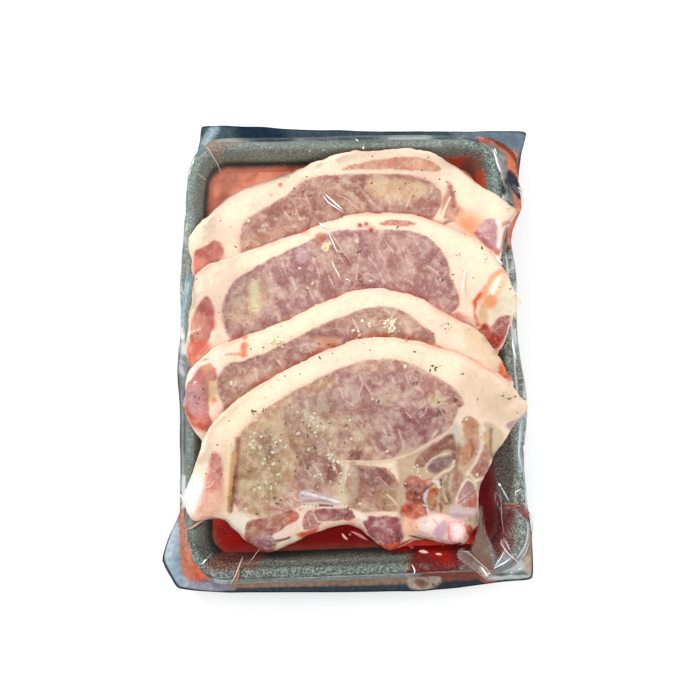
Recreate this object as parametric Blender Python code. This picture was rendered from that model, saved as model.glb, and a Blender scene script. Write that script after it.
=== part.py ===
"""A foam tray of four shingled pork chops and their juice, sealed in a clear vacuum bag.

The frame is the tray's: +X to its right, +Y to its far end, +Z up, with the origin at the
middle of its base. Every chop leans on the one behind it: its near edge lies in the juice
on the tray's floor and its far edge is up on the chops that went in before it. The height
of each slab, and of the film over them all, comes from letting a sheet settle on what is
beneath it, on one grid that they share.
"""

import math

import bmesh
import bpy
import numpy as np

MM = 0.001
COLLECTION = "meat_tray_pack"
SHARP_ANGLE = math.radians(40)

# Foam tray. Its section is a list of (distance in from the rim's outer edge, height).
TRAY_HALF_WIDTH = 90.0
TRAY_HALF_LENGTH = 119.0
TRAY_CORNER_RADIUS = 22.0
TRAY_OUTSIDE = [(15.0, 0.0), (13.0, 1.0), (4.5, 20.0), (0.8, 21.2), (0.0, 22.4), (0.2, 24.0)]
TRAY_LIP = [(1.2, 25.0), (3.4, 25.3), (5.0, 24.6)]
TRAY_INSIDE = [(6.0, 22.6), (10.5, 8.0), (12.0, 5.4), (15.0, 4.6)]
CORNER_POINTS = 6
TRAY_SIDE_POINTS = (1, 2)

# Juice, a shallow pool over the whole floor.
JUICE_SECTION = [(15.6, 4.95), (12.4, 5.9), (11.8, 6.6)]

# Chops, as outlines in millimetres seen from above, from the right tip round the far, fatty
# edge to the left tip and back along the near edge.
CHOP_THICKNESS = 10.5
CHOP_EDGE_THICKNESS = 6.5
CHOP_ROUNDING = 16.0
CHOP_OUTLINES = {
    "chop_1": [
        (90, 72), (80, 86), (70, 98), (56, 107), (40, 111), (12, 111), (-10, 109), (-32, 103),
        (-55, 95), (-71, 86), (-81, 74), (-87, 59), (-83, 38), (-66, 16), (-34, 5), (0, 7),
        (34, 3), (60, 9), (77, 28), (85, 53),
    ],
    "chop_2": [
        (90, 20), (87, 31), (78, 49), (66, 59), (50, 69), (30, 75), (8, 76), (-6, 74),
        (-22, 68), (-44, 60), (-65, 51), (-81, 42), (-88, 30), (-90, 14), (-86, -6),
        (-66, -28), (-32, -36), (4, -32), (34, -38), (58, -30), (77, -8), (85, 6),
    ],
    "chop_3": [
        (85, -24), (81, -14), (73, -1), (64, 9), (49, 17), (34, 27), (17, 31), (0, 30),
        (-18, 23), (-38, 14), (-62, 6), (-78, -3), (-87, -15), (-89, -32), (-80, -48),
        (-60, -72), (-30, -76), (2, -70), (32, -78), (56, -72), (70, -44),
    ],
    "chop_4": [
        (90, -34), (76, -18), (54, -6), (30, 2), (8, 4), (-14, -2), (-38, -13), (-60, -26),
        (-76, -42), (-84, -60), (-90, -76), (-85, -87), (-71, -88), (-60, -99), (-46, -106),
        (-24, -98), (-3, -94), (16, -107), (34, -103), (56, -108), (66, -94), (66, -78),
        (74, -60), (84, -44),
    ],
}
CHOP_RING_POINTS = 56
# Rings of a slab, as (share of the outline's size, share of the thickness), top to bottom.
SLAB_TOP = [(0.12, 1.0), (0.36, 1.0), (0.58, 1.0), (0.76, 1.0), (0.89, 0.97), (0.965, 0.84)]
SLAB_SIDE = [(1.0, 0.5)]
SLAB_BOTTOM = [(0.975, 0.14), (0.9, 0.0), (0.76, 0.0), (0.58, 0.0), (0.36, 0.0), (0.12, 0.0)]

# Vacuum bag: film over the food, a skirt down the tray's side and a flat seal round it.
FILM_HALF_WIDTH = 91.2
FILM_HALF_LENGTH = 120.2
FILM_CORNER_RADIUS = 23.0
FILM_THICKNESS = 0.6
FILM_SIDE_POINTS = (8, 12)
FILM_RING_SHARES = [0.07, 0.22, 0.36, 0.49, 0.6, 0.7, 0.79, 0.86, 0.92, 0.965, 1.0]
SEAL_HEIGHT = 14.0
SEAL_OUTLINE = [
    (104, 126), (98, 128), (32, 128), (-26, 129), (-49, 131), (-81, 131), (-85, 121),
    (-93, 97), (-94, 60), (-94.4, 0), (-94, -84), (-101, -97), (-104, -108), (-100, -117),
    (-95, -124), (-68, -127), (35, -130), (76, -128), (95, -126), (95, -99), (93.4, -80),
    (93.4, 56), (96, 74), (99, 98),
]

# Settling grid and clearances.
GRID_STEP = 2.0
GRID_HALF_WIDTH = 100.0
GRID_HALF_LENGTH = 134.0
CLEARANCE = 0.45
SPREAD = 2.5
MEAT_SPREAD_CELLS = 1
FILM_SPREAD_CELLS = 2
MEAT_SAG = 0.012
MEAT_PASSES = 1600
FILM_SAG = 0.03
FILM_PASSES = 300
EVEN_SAMPLES = 12

MATERIALS = {
    "tray": ((0.15, 0.17, 0.165), 0.85),
    "chop": ((0.66, 0.42, 0.36), 0.45),
    "juice": ((0.27, 0.01, 0.01), 0.15),
    "film": ((0.72, 0.78, 0.8), 0.12),
}


def clear_scene():
    for obj in list(bpy.data.objects):
        bpy.data.objects.remove(obj)


def collection():
    made = bpy.data.collections.new(COLLECTION)
    bpy.context.scene.collection.children.link(made)
    return made


def material(name):
    colour, roughness = MATERIALS[name]
    made = bpy.data.materials.new(name)
    made.use_nodes = True
    shader = made.node_tree.nodes["Principled BSDF"]
    shader.inputs["Base Color"].default_value = (*colour, 1.0)
    shader.inputs["Roughness"].default_value = roughness
    shader.inputs["Metallic"].default_value = 0.0
    return made


def rounded_rectangle(half_width, half_length, radius, inset, across, along):
    """Points round a rectangle with round corners, moved inwards by inset.

    Each corner has CORNER_POINTS; across and along are how many lie between the corners.
    """
    radius = max(radius - inset, 1.0)
    middle = np.array([half_width - inset - radius, half_length - inset - radius])
    points = []
    for turn, signs in enumerate([(1, 1), (-1, 1), (-1, -1), (1, -1)]):
        corner = middle * signs
        for angle in np.linspace(turn * math.pi / 2, (turn + 1) * math.pi / 2, CORNER_POINTS):
            points.append(corner + radius * np.array([math.cos(angle), math.sin(angle)]))
        extra = along if turn % 2 else across
        onwards = middle * [(-1, 1), (-1, -1), (1, -1), (1, 1)][turn]
        ahead = (turn + 1) * math.pi / 2
        finish = onwards + radius * np.array([math.cos(ahead), math.sin(ahead)])
        start = points[-1]
        for k in range(extra):
            points.append(start + (finish - start) * (k + 1) / (extra + 1))
    return np.array(points)


def inwards_from_rim(x, y):
    """How far a point lies in from the outer edge of the tray's rim; negative outside it."""
    over_x = np.abs(x) - (TRAY_HALF_WIDTH - TRAY_CORNER_RADIUS)
    over_y = np.abs(y) - (TRAY_HALF_LENGTH - TRAY_CORNER_RADIUS)
    corner = np.hypot(np.maximum(over_x, 0), np.maximum(over_y, 0))
    return TRAY_CORNER_RADIUS - corner - np.minimum(np.maximum(over_x, over_y), 0)


def smooth_outline(controls, count):
    """A closed curve through the control points, as count points evenly spaced along it."""
    controls = np.array(controls, float)
    before, after = np.roll(controls, 1, 0), np.roll(controls, -1, 0)
    beyond = np.roll(controls, -2, 0)
    fine = []
    for k in range(EVEN_SAMPLES):
        t = k / EVEN_SAMPLES
        fine.append(
            0.5
            * (
                2 * controls
                + (after - before) * t
                + (2 * before - 5 * controls + 4 * after - beyond) * t**2
                + (3 * controls - before - 3 * after + beyond) * t**3
            )
        )
    curve = np.stack(fine, 1).reshape(-1, 2)
    closed = np.vstack([curve, curve[:1]])
    travel = np.append(0, np.cumsum(np.linalg.norm(np.diff(closed, axis=0), axis=1)))
    wanted = np.linspace(0, travel[-1], count, endpoint=False)
    return np.stack([np.interp(wanted, travel, closed[:, axis]) for axis in (0, 1)], 1)


def inwards_from_outline(outline, x, y):
    """Distance from each point to the outline, positive inside it."""
    nearest = np.full(x.shape, np.inf)
    inside = np.zeros(x.shape, bool)
    for (ax, ay), (bx, by) in zip(outline, np.roll(outline, -1, 0)):
        run_x, run_y = bx - ax, by - ay
        share = ((x - ax) * run_x + (y - ay) * run_y) / (run_x**2 + run_y**2)
        share = np.clip(share, 0, 1)
        gap = np.hypot(x - ax - share * run_x, y - ay - share * run_y)
        nearest = np.minimum(nearest, gap)
        crosses = (ay > y) != (by > y)
        with np.errstate(divide="ignore", invalid="ignore"):
            inside ^= crosses & (x < run_x * (y - ay) / run_y + ax)
    return np.where(inside, nearest, -nearest)


class Grid:
    """An even grid seen from above, on which heights are kept and settled."""

    def __init__(self):
        self.xs = np.arange(-GRID_HALF_WIDTH, GRID_HALF_WIDTH + GRID_STEP / 2, GRID_STEP)
        self.ys = np.arange(-GRID_HALF_LENGTH, GRID_HALF_LENGTH + GRID_STEP / 2, GRID_STEP)
        self.x, self.y = np.meshgrid(self.xs, self.ys, indexing="ij")

    def read(self, heights, x, y):
        """The height at any point, by straight lines between the grid's own points."""
        column = np.clip((x - self.xs[0]) / GRID_STEP, 0, len(self.xs) - 1.001)
        row = np.clip((y - self.ys[0]) / GRID_STEP, 0, len(self.ys) - 1.001)
        i, j = column.astype(int), row.astype(int)
        u, v = column - i, row - j
        near = heights[i, j] * (1 - u) + heights[i + 1, j] * u
        far = heights[i, j + 1] * (1 - u) + heights[i + 1, j + 1] * u
        return near * (1 - v) + far * v


def neighbours(values):
    edged = np.pad(values, 1, mode="edge")
    return edged[2:, 1:-1] + edged[:-2, 1:-1] + edged[1:-1, 2:] + edged[1:-1, :-2]


def widened(heights, cells):
    """Every point raised to the highest of its neighbours, so flat facets clear the shape."""
    for _ in range(cells):
        edged = np.pad(heights, 1, mode="edge")
        width, length = heights.shape
        shifts = [edged[i : i + width, j : j + length] for i in range(3) for j in range(3)]
        heights = np.max(shifts, axis=0)
    return heights


def settled(support, within, sag, passes):
    """A sheet with free edges that sags on to support, inside the cells marked in within."""
    weight = within.astype(float)
    count = np.maximum(neighbours(weight), 1)
    heights = support.copy()
    for _ in range(passes):
        mean = neighbours(heights * weight) / count
        heights = np.where(within, np.maximum(support, mean - sag), support)
    return heights


def tray_top(grid):
    """The upper face of the empty tray and its juice, and zero outside the rim."""
    section = [*TRAY_OUTSIDE[-2:], *TRAY_LIP, *TRAY_INSIDE]
    inset, height = zip(*section)
    surface = np.interp(inwards_from_rim(grid.x, grid.y), inset, height)
    surface = np.maximum(surface, JUICE_SECTION[-1][1])
    return np.where(inwards_from_rim(grid.x, grid.y) < 0, 0.0, surface)


def chop_thickness(inwards):
    """A slab's thickness, which falls towards its edge."""
    swell = np.sin(np.clip(inwards / CHOP_ROUNDING, 0, 1) * math.pi / 2)
    return CHOP_EDGE_THICKNESS + (CHOP_THICKNESS - CHOP_EDGE_THICKNESS) * swell


def lay_chops(grid):
    """The underside of every chop in the order they were laid, and the top of the whole heap."""
    heap = tray_top(grid)
    undersides = {}
    for name, controls in CHOP_OUTLINES.items():
        outline = smooth_outline(controls, 4 * CHOP_RING_POINTS)
        inwards = inwards_from_outline(outline, grid.x, grid.y)
        footprint = inwards > -SPREAD
        support = widened(heap, MEAT_SPREAD_CELLS) + CLEARANCE
        underside = settled(support, footprint, MEAT_SAG, MEAT_PASSES)
        undersides[name] = underside
        heap = np.where(footprint, np.maximum(heap, underside + chop_thickness(inwards)), heap)
    return undersides, heap


def loft(name, rings, surface, into):
    """One closed solid through a stack of rings, with its first and last ring filled."""
    shape = bmesh.new()
    loops = [[shape.verts.new(np.asarray(p) * MM) for p in ring] for ring in rings]
    for upper, lower in zip(loops, loops[1:]):
        count = len(upper)
        for k in range(count):
            after = (k + 1) % count
            shape.faces.new((upper[k], lower[k], lower[after], upper[after]))
    caps = [shape.faces.new(loops[0]), shape.faces.new(loops[-1][::-1])]
    bmesh.ops.poke(shape, faces=caps)
    bmesh.ops.triangulate(shape, faces=shape.faces[:])
    bmesh.ops.recalc_face_normals(shape, faces=shape.faces[:])
    mesh = bpy.data.meshes.new(name)
    shape.to_mesh(mesh)
    shape.free()
    mesh.shade_smooth()
    mesh.set_sharp_from_angle(angle=SHARP_ANGLE)
    mesh.materials.append(surface)
    obj = bpy.data.objects.new(name, mesh)
    into.objects.link(obj)
    return obj


def level_ring(points, height):
    return np.column_stack([points, np.full(len(points), height)])


def tray_ring(inset, height):
    outer = (TRAY_HALF_WIDTH, TRAY_HALF_LENGTH, TRAY_CORNER_RADIUS)
    return level_ring(rounded_rectangle(*outer, inset, *TRAY_SIDE_POINTS), height)


def make_tray(into):
    section = TRAY_OUTSIDE + TRAY_LIP + TRAY_INSIDE
    loft("tray", [tray_ring(*point) for point in section], material("tray"), into)


def make_juice(into):
    loft("juice", [tray_ring(*point) for point in JUICE_SECTION], material("juice"), into)


def make_chops(grid, undersides, into):
    surface = material("chop")
    for name, controls in CHOP_OUTLINES.items():
        outline = smooth_outline(controls, CHOP_RING_POINTS)
        centre = (outline.max(0) + outline.min(0)) / 2
        rings = []
        for share, lift in SLAB_TOP + SLAB_SIDE + SLAB_BOTTOM:
            points = centre + share * (outline - centre)
            under = grid.read(undersides[name], points[:, 0], points[:, 1])
            inwards = inwards_from_outline(outline, points[:, 0], points[:, 1])
            rings.append(np.column_stack([points, under + lift * chop_thickness(inwards)]))
        loft(name, rings, surface, into)


def seal_edge(points):
    """The bag's seal, met by a ray from the middle through each of these points."""
    corners = np.array(SEAL_OUTLINE, float)
    edges = np.roll(corners, -1, 0) - corners
    found = []
    for point in points:
        cross = edges[:, 0] * point[1] - edges[:, 1] * point[0]
        reach = (edges[:, 0] * corners[:, 1] - edges[:, 1] * corners[:, 0]) / cross
        along = (point[0] * corners[:, 1] - point[1] * corners[:, 0]) / cross
        met = (reach > 0) & (along >= 0) & (along <= 1)
        found.append(point * reach[met].max())
    return np.array(found)


def make_film(grid, heap, into):
    """The bag's upper film as a thin shell, open below, where the food and the tray fill it."""
    everywhere = np.ones(heap.shape, bool)
    support = widened(heap, FILM_SPREAD_CELLS) + CLEARANCE
    draped = settled(support, everywhere, FILM_SAG, FILM_PASSES)
    edge = (FILM_HALF_WIDTH, FILM_HALF_LENGTH, FILM_CORNER_RADIUS)
    rim = rounded_rectangle(*edge, 0.0, *FILM_SIDE_POINTS)
    outer_rim = rounded_rectangle(*edge, -FILM_THICKNESS, *FILM_SIDE_POINTS)
    seal_top = SEAL_HEIGHT + FILM_THICKNESS
    inner, outer = [], []
    for share in FILM_RING_SHARES:
        points = rim * share
        under = grid.read(draped, points[:, 0], points[:, 1])
        inner.append(np.column_stack([points, under]))
        points = outer_rim * share
        outer.append(np.column_stack([points, under + FILM_THICKNESS]))
    outer.append(level_ring(outer_rim, seal_top))
    outer.append(level_ring(seal_edge(rim), seal_top))
    inner.append(level_ring(rim, SEAL_HEIGHT))
    outer.append(level_ring(seal_edge(rim), SEAL_HEIGHT))
    loft("film", outer + inner[::-1], material("film"), into)


def main():
    clear_scene()
    pack = collection()
    grid = Grid()
    undersides, heap = lay_chops(grid)
    make_tray(pack)
    make_juice(pack)
    make_chops(grid, undersides, pack)
    make_film(grid, heap, pack)


main()
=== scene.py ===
"""A foam tray of four shingled pork chops with seasoning and juice, in a clear vacuum bag.

Everything is worked out in millimetres, seen from above, and made a mesh in metres. The
slabs and the bag settle on what is beneath them on one grid; their fine surfaces are then
built as rings or rows of points that read their heights from it. Colour follows patches laid
on each surface, kept as an attribute, and the materials add grain, marbling and wetness.
"""

import math

import bpy
import numpy as np
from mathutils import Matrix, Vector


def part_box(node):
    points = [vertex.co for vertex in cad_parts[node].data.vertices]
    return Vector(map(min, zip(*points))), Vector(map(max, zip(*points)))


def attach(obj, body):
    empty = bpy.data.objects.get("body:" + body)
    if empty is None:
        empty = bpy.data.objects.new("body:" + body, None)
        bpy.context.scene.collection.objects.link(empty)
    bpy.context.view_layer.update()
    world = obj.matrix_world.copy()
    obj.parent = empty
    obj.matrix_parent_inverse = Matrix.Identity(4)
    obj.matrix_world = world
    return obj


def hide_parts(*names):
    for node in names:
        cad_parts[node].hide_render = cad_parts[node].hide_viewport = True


bl_info = {
    "name": "Meat Tray Pack",
    "version": (1, 0, 0),
    "blender": (4, 5, 0),
    "location": "View3D > Sidebar > Meat Tray",
    "description": "Makes a sealed foam tray of seasoned pork chops",
    "category": "Add Mesh",
}

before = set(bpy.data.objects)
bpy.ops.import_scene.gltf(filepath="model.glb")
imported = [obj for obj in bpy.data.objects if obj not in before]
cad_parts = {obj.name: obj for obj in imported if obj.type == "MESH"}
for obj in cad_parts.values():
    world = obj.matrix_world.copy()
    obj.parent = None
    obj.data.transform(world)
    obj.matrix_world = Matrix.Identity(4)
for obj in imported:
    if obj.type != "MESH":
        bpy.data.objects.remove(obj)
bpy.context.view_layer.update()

MM = 0.001
CHOP_NAMES = ["chop_1", "chop_2", "chop_3", "chop_4"]


# --- Sizes that the pieces share, in millimetres -------------------------------------------

def node_size(node):
    """Half of a node's width and length, and its lowest and highest point."""
    low, high = (np.array(corner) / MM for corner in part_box(node))
    return (high[0] - low[0]) / 2, (high[1] - low[1]) / 2, low[2], high[2]


TRAY_HALF_WIDTH, TRAY_HALF_LENGTH = node_size("tray")[:2]
TRAY_CORNER_RADIUS = 22.0
# The foam's section, as (distance in from the rim's outer edge, height).
TRAY_OUTSIDE = [(15.0, 0.35), (13.6, 0.7), (12.4, 2.4), (4.5, 19.6), (2.4, 21.0), (0.5, 21.6),
                (0.0, 22.6), (0.2, 24.0)]
TRAY_LIP = [(1.2, 25.0), (2.4, 25.3), (3.6, 25.2), (5.0, 24.5)]
TRAY_INSIDE = [(6.2, 22.2), (8.0, 16.6), (10.3, 9.2), (11.3, 6.6), (12.8, 5.1), (16.0, 4.6)]
JUICE_LEVEL = 6.6

CHOP_THICKNESS = 10.5
CHOP_EDGE_THICKNESS = 6.5
CHOP_SWELL = 16.0
CHOP_EDGE_RADIUS = 3.2
CHOP_OUTLINES = {
    "chop_1": [
        (95.6, 75), (91.6, 76.2), (80, 85), (70, 96.5), (56, 107), (40, 111), (12, 111),
        (-10, 109), (-32, 104.5), (-53, 98.8), (-61.6, 95), (-69.4, 89.2), (-74.6, 82.6), (-80, 73.6),
        (-86.4, 63), (-86.2, 53), (-83, 38), (-66, 16), (-34, 5), (0, 7),
        (34, 3), (60, 9), (77, 28), (84, 53), (88, 65), (93, 72),
    ],
    "chop_2": [
        (92, 22.5), (89.5, 25.5), (86.5, 31), (78, 47), (66, 59), (50, 69), (30, 75), (8, 76), (-6, 74),
        (-22, 68), (-44, 60), (-65, 51), (-80, 43), (-84.5, 30), (-87.5, 14), (-86.5, -6),
        (-66, -28), (-32, -36), (4, -32), (34, -38), (58, -30), (77, -8), (84, 6),
        (88.5, 18),
    ],
    "chop_3": [
        (85, -24), (81, -14), (73, -1), (64, 9), (49, 17), (34, 27), (17, 31), (0, 30),
        (-18, 23), (-38, 14), (-62, 6), (-78, -3), (-87, -15), (-89, -32), (-80, -48),
        (-60, -72), (-30, -76), (2, -70), (32, -78), (56, -72), (70, -44),
    ],
    "chop_4": [
        (91, -34), (88, -29.5), (76, -17.5), (54, -6), (30, 2), (8, 4), (-14, -2), (-38, -13), (-60, -26),
        (-76, -42), (-84, -60), (-90, -76), (-85, -87), (-71, -88), (-60, -99), (-46, -106),
        (-24, -98), (-3, -94), (16, -107), (34, -103), (54.5, -106.5), (63, -99), (66, -94), (66, -78),
        (74, -60), (84, -44), (89, -37),
    ],
}
SLAB_POINTS = 640
SLAB_RINGS = 88
FINE_EDGE = [0.94, 0.95, 0.96, 0.969, 0.977, 0.984, 0.99, 0.995, 0.9985]
SLAB_UNDER = [1.0, 0.995, 0.985, 0.97, 0.94, 0.85, 0.65, 0.4, 0.15]

FILM_HALF_WIDTH = 90.8
FILM_HALF_LENGTH = 120.5
FILM_CORNER_RADIUS = 22.8
SEAL_HEIGHT = 14.2
SEAL_OUTLINE = [
    (106, 126.2), (99, 127.6), (32, 128), (-26, 130), (-49, 132), (-80, 133), (-83, 132.4),
    (-83.6, 124), (-86, 114), (-88.2, 101), (-91, 88), (-92.6, 70), (-94, 52), (-94.6, 34), (-93, 12),
    (-92, -10), (-92, -50), (-93, -72), (-93.6, -82), (-97, -90), (-101, -98), (-104, -109),
    (-100, -117), (-95, -124), (-68, -127), (35, -130), (76, -127), (94, -125.4), (94.4, -99),
    (92.6, -80), (92, -50), (89.6, 30), (89.4, 56), (91.6, 64), (96.2, 75), (97.4, 84), (99.4, 98),
    (102, 112),
]

# How much further out the film's right side hangs, as (distance along the pack, reach).
FILM_OVERHANG = [(-100, 0.0), (-80, -1.0), (-20, -2.2), (30, -3.2), (55, -3.6), (62, -2.0),
                 (68, 0.8), (74, 3.8), (82, 4.4), (92, 5.4), (103, 6.4), (110, 8.4),
                 (116, 8.0), (121, 5.5)]

# The same on the left side.
FILM_LEFT = [(10, 0.0), (45, -1.0), (75, -2.0), (92, -2.0), (104, -3.0), (113, -2.2), (121, -1.0)]

GRID_STEP = 2.0
GRID_HALF_WIDTH = 100.0
GRID_HALF_LENGTH = 134.0
CLEARANCE = 0.45

# How the chops and then the film settle: the sag and the passes, the film's gap over the food,
# and how far past a chop's outline it is laid.
CHOP_SAG, CHOP_PASSES = 0.012, 1600
FILM_SAG, FILM_PASSES = 0.045, 500
FILM_GAP = 0.35
FOOTPRINT_MARGIN = 2.5
OUTLINE_POINTS = 224


# --- Colours -------------------------------------------------------------------------------

def linear(colour):
    """A colour given as three numbers up to 255, as the linear values that a shader takes."""
    share = np.asarray(colour, float) / 255
    return np.where(share <= 0.04045, share / 12.92, ((share + 0.055) / 1.055) ** 2.4)


def chosen(colour):
    """The default of a colour setting, from a colour given as three numbers up to 255."""
    return tuple(float(v) for v in linear(colour))


# --- Shapes seen from above ----------------------------------------------------------------

def smooth_outline(controls, count):
    """A closed curve through the control points, as count points evenly spaced along it."""
    controls = np.array(controls, float)
    before, after = np.roll(controls, 1, 0), np.roll(controls, -1, 0)
    beyond = np.roll(controls, -2, 0)
    fine = []
    for t in np.arange(12) / 12:
        fine.append(0.5 * (2 * controls + (after - before) * t
                           + (2 * before - 5 * controls + 4 * after - beyond) * t**2
                           + (3 * controls - before - 3 * after + beyond) * t**3))
    return evenly(np.stack(fine, 1).reshape(-1, 2), count, closed=True)


def evenly(points, count, closed=False):
    """A polyline's points spaced evenly along it."""
    points = np.asarray(points, float)
    if closed:
        points = np.vstack([points, points[:1]])
    travel = np.append(0, np.cumsum(np.linalg.norm(np.diff(points, axis=0), axis=1)))
    wanted = np.linspace(0, travel[-1], count, endpoint=not closed)
    return np.stack([np.interp(wanted, travel, points[:, axis])
                     for axis in range(points.shape[1])], 1)


def distance_to(points, x, y, closed):
    """Distance from each place to a polyline, and whether the closed line holds it."""
    nearest = np.full(x.shape, np.inf)
    inside = np.zeros(x.shape, bool)
    after = np.roll(points, -1, 0) if closed else points[1:]
    for (ax, ay), (bx, by) in zip(points, after):
        run_x, run_y = bx - ax, by - ay
        share = ((x - ax) * run_x + (y - ay) * run_y) / (run_x**2 + run_y**2 + 1e-9)
        share = np.clip(share, 0, 1)
        gap = (x - ax - share * run_x) ** 2 + (y - ay - share * run_y) ** 2
        nearest = np.minimum(nearest, gap)
        if closed and ay != by:
            crosses = (ay > y) != (by > y)
            inside ^= crosses & (x < run_x * (y - ay) / run_y + ax)
    return np.sqrt(nearest), inside


def inwards(outline, x, y):
    """Distance from each place to the outline, positive inside it."""
    gap, inside = distance_to(outline, x, y, True)
    return np.where(inside, gap, -gap)


def drawn_in(x, y):
    """How far the film pulls the tray's sides in towards the far end, against x."""
    return 3.0 * ramp(x, 45, 86) * ramp(y, -100, 50) - 1.6 * ramp(-x, 60, 84) * ramp(y, 84, 104)


def inwards_from_rim(x, y, half_width=TRAY_HALF_WIDTH, half_length=TRAY_HALF_LENGTH,
                     radius=TRAY_CORNER_RADIUS):
    """How far a place lies in from a rectangle with round corners; negative outside it."""
    over_x = np.abs(x + drawn_in(x, y)) - (half_width - radius)
    over_y = np.abs(y) - (half_length - radius)
    corner = np.hypot(np.maximum(over_x, 0), np.maximum(over_y, 0))
    return radius - corner - np.minimum(np.maximum(over_x, over_y), 0)


def rounded_rectangle(half_width, half_length, radius, inset, across, along, corner):
    """Points round a rectangle with round corners, counter-clockwise, moved in by inset."""
    radius = max(radius - inset, 1.0)
    middle = np.array([half_width - inset - radius, half_length - inset - radius])
    points = []
    for turn, signs in enumerate([(1, 1), (-1, 1), (-1, -1), (1, -1)]):
        angles = np.linspace(turn * math.pi / 2, (turn + 1) * math.pi / 2, corner)
        arc = middle * signs + radius * np.stack([np.cos(angles), np.sin(angles)], 1)
        points.extend(arc)
        extra = along if turn % 2 else across
        onwards = middle * [(-1, 1), (-1, -1), (1, -1), (1, 1)][turn]
        finish = onwards + radius * np.array([np.cos(angles[-1]), np.sin(angles[-1])])
        steps = (np.arange(extra) + 1)[:, None] / (extra + 1)
        points.extend(arc[-1] + (finish - arc[-1]) * steps)
    return np.array(points)


def ramp(value, start, finish):
    """A smooth step from 0 at start to 1 at finish."""
    share = np.clip((value - start) / (finish - start), 0, 1)
    return share * share * (3 - 2 * share)


def lumps(x, y, size, seed):
    """Smooth seeded noise from -1 to 1, with lumps of about that size."""
    table = np.random.default_rng(seed).uniform(-1, 1, (89, 89))
    u, v = x / size + 500.3, y / size + 500.7
    i, j = np.floor(u).astype(int), np.floor(v).astype(int)
    a, b = u - i, v - j
    a, b = a * a * (3 - 2 * a), b * b * (3 - 2 * b)
    near = table[i % 89, j % 89] * (1 - a) + table[(i + 1) % 89, j % 89] * a
    far = table[i % 89, (j + 1) % 89] * (1 - a) + table[(i + 1) % 89, (j + 1) % 89] * a
    return near * (1 - b) + far * b


# --- Settling ------------------------------------------------------------------------------

class Grid:
    """An even grid seen from above, on which heights are kept and settled."""

    def __init__(self):
        self.xs = np.arange(-GRID_HALF_WIDTH, GRID_HALF_WIDTH + GRID_STEP / 2, GRID_STEP)
        self.ys = np.arange(-GRID_HALF_LENGTH, GRID_HALF_LENGTH + GRID_STEP / 2, GRID_STEP)
        self.x, self.y = np.meshgrid(self.xs, self.ys, indexing="ij")

    def read(self, heights, x, y):
        """The height at any place, on a smooth surface through the grid's points."""
        column = np.clip((x - self.xs[0]) / GRID_STEP, 1, len(self.xs) - 2.001)
        row = np.clip((y - self.ys[0]) / GRID_STEP, 1, len(self.ys) - 2.001)
        i, j = column.astype(int), row.astype(int)
        total = 0.0
        for di, share in enumerate(spline_shares(column - i)):
            for dj, other in enumerate(spline_shares(row - j)):
                reach_i = np.minimum(i + di - 1, len(self.xs) - 1)
                reach_j = np.minimum(j + dj - 1, len(self.ys) - 1)
                total = total + share * other * heights[reach_i, reach_j]
        return total


def spline_shares(t):
    """The four weights of a smooth curve through evenly spaced points."""
    return [(1 - t) ** 3 / 6, (3 * t**3 - 6 * t**2 + 4) / 6,
            (-3 * t**3 + 3 * t**2 + 3 * t + 1) / 6, t**3 / 6]


def neighbours(values):
    edged = np.pad(values, 1, mode="edge")
    return edged[2:, 1:-1] + edged[:-2, 1:-1] + edged[1:-1, 2:] + edged[1:-1, :-2]


def widened(heights):
    """Every point raised to the highest of its neighbours."""
    edged = np.pad(heights, 1, mode="edge")
    width, length = heights.shape
    shifts = [edged[i:i + width, j:j + length] for i in range(3) for j in range(3)]
    return np.max(shifts, axis=0)


def settled(support, within, sag, passes):
    """A sheet with free edges that sags on to support, inside the cells marked in within."""
    weight = within.astype(float)
    count = np.maximum(neighbours(weight), 1)
    heights = support.copy()
    for _ in range(passes):
        mean = neighbours(heights * weight) / count
        heights = np.where(within, np.maximum(support, mean - sag), support)
    return heights


def tray_top(x, y):
    """The upper face of the empty tray and its juice, and zero outside the rim."""
    inset, height = zip(*(TRAY_OUTSIDE[-2:] + TRAY_LIP + TRAY_INSIDE))
    rim = inwards_from_rim(x, y)
    surface = np.maximum(np.interp(rim, inset, height), JUICE_LEVEL)
    return np.where(rim < 0, 0.0, surface)


def chop_thickness(depth):
    swell = np.sin(np.clip(depth / CHOP_SWELL, 0, 1) * math.pi / 2)
    return CHOP_EDGE_THICKNESS + (CHOP_THICKNESS - CHOP_EDGE_THICKNESS) * swell


def edge_rounding(depth):
    """The share of the half thickness that is left, this far in from a slab's edge."""
    return np.sqrt(np.clip(1 - (1 - np.clip(depth / CHOP_EDGE_RADIUS, 0, 1)) ** 2, 0, 1))


def chop_outline(name):
    """A chop's smooth outline seen from above."""
    return smooth_outline(CHOP_OUTLINES[name], OUTLINE_POINTS)


class Heap:
    """The settled chops and the film over them."""

    def __init__(self):
        self.grid = Grid()
        grid = self.grid
        heap = tray_top(grid.x, grid.y)
        self.outlines = {}
        self.undersides = {}
        for name in CHOP_OUTLINES:
            outline = chop_outline(name)
            depth = inwards(outline, grid.x, grid.y)
            footprint = depth > -FOOTPRINT_MARGIN
            under = settled(widened(heap) + CLEARANCE, footprint, CHOP_SAG, CHOP_PASSES)
            heap = np.where(footprint, np.maximum(heap, under + chop_thickness(depth)), heap)
            self.outlines[name] = outline
            self.undersides[name] = under
        self.top = heap
        self.film = settled(widened(heap) + FILM_GAP, heap > -1, FILM_SAG, FILM_PASSES)

    def underside(self, name, x, y):
        return self.grid.read(self.undersides[name], x, y)

    def film_height(self, x, y):
        return self.grid.read(self.film, x, y)


# --- Painting ------------------------------------------------------------------------------

def path(points):
    """Points from text such as "12,5 14,8", or points as they are."""
    if isinstance(points, str):
        points = [[float(part) for part in point.split(",")] for point in points.split()]
    return np.asarray(points, float)


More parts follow.
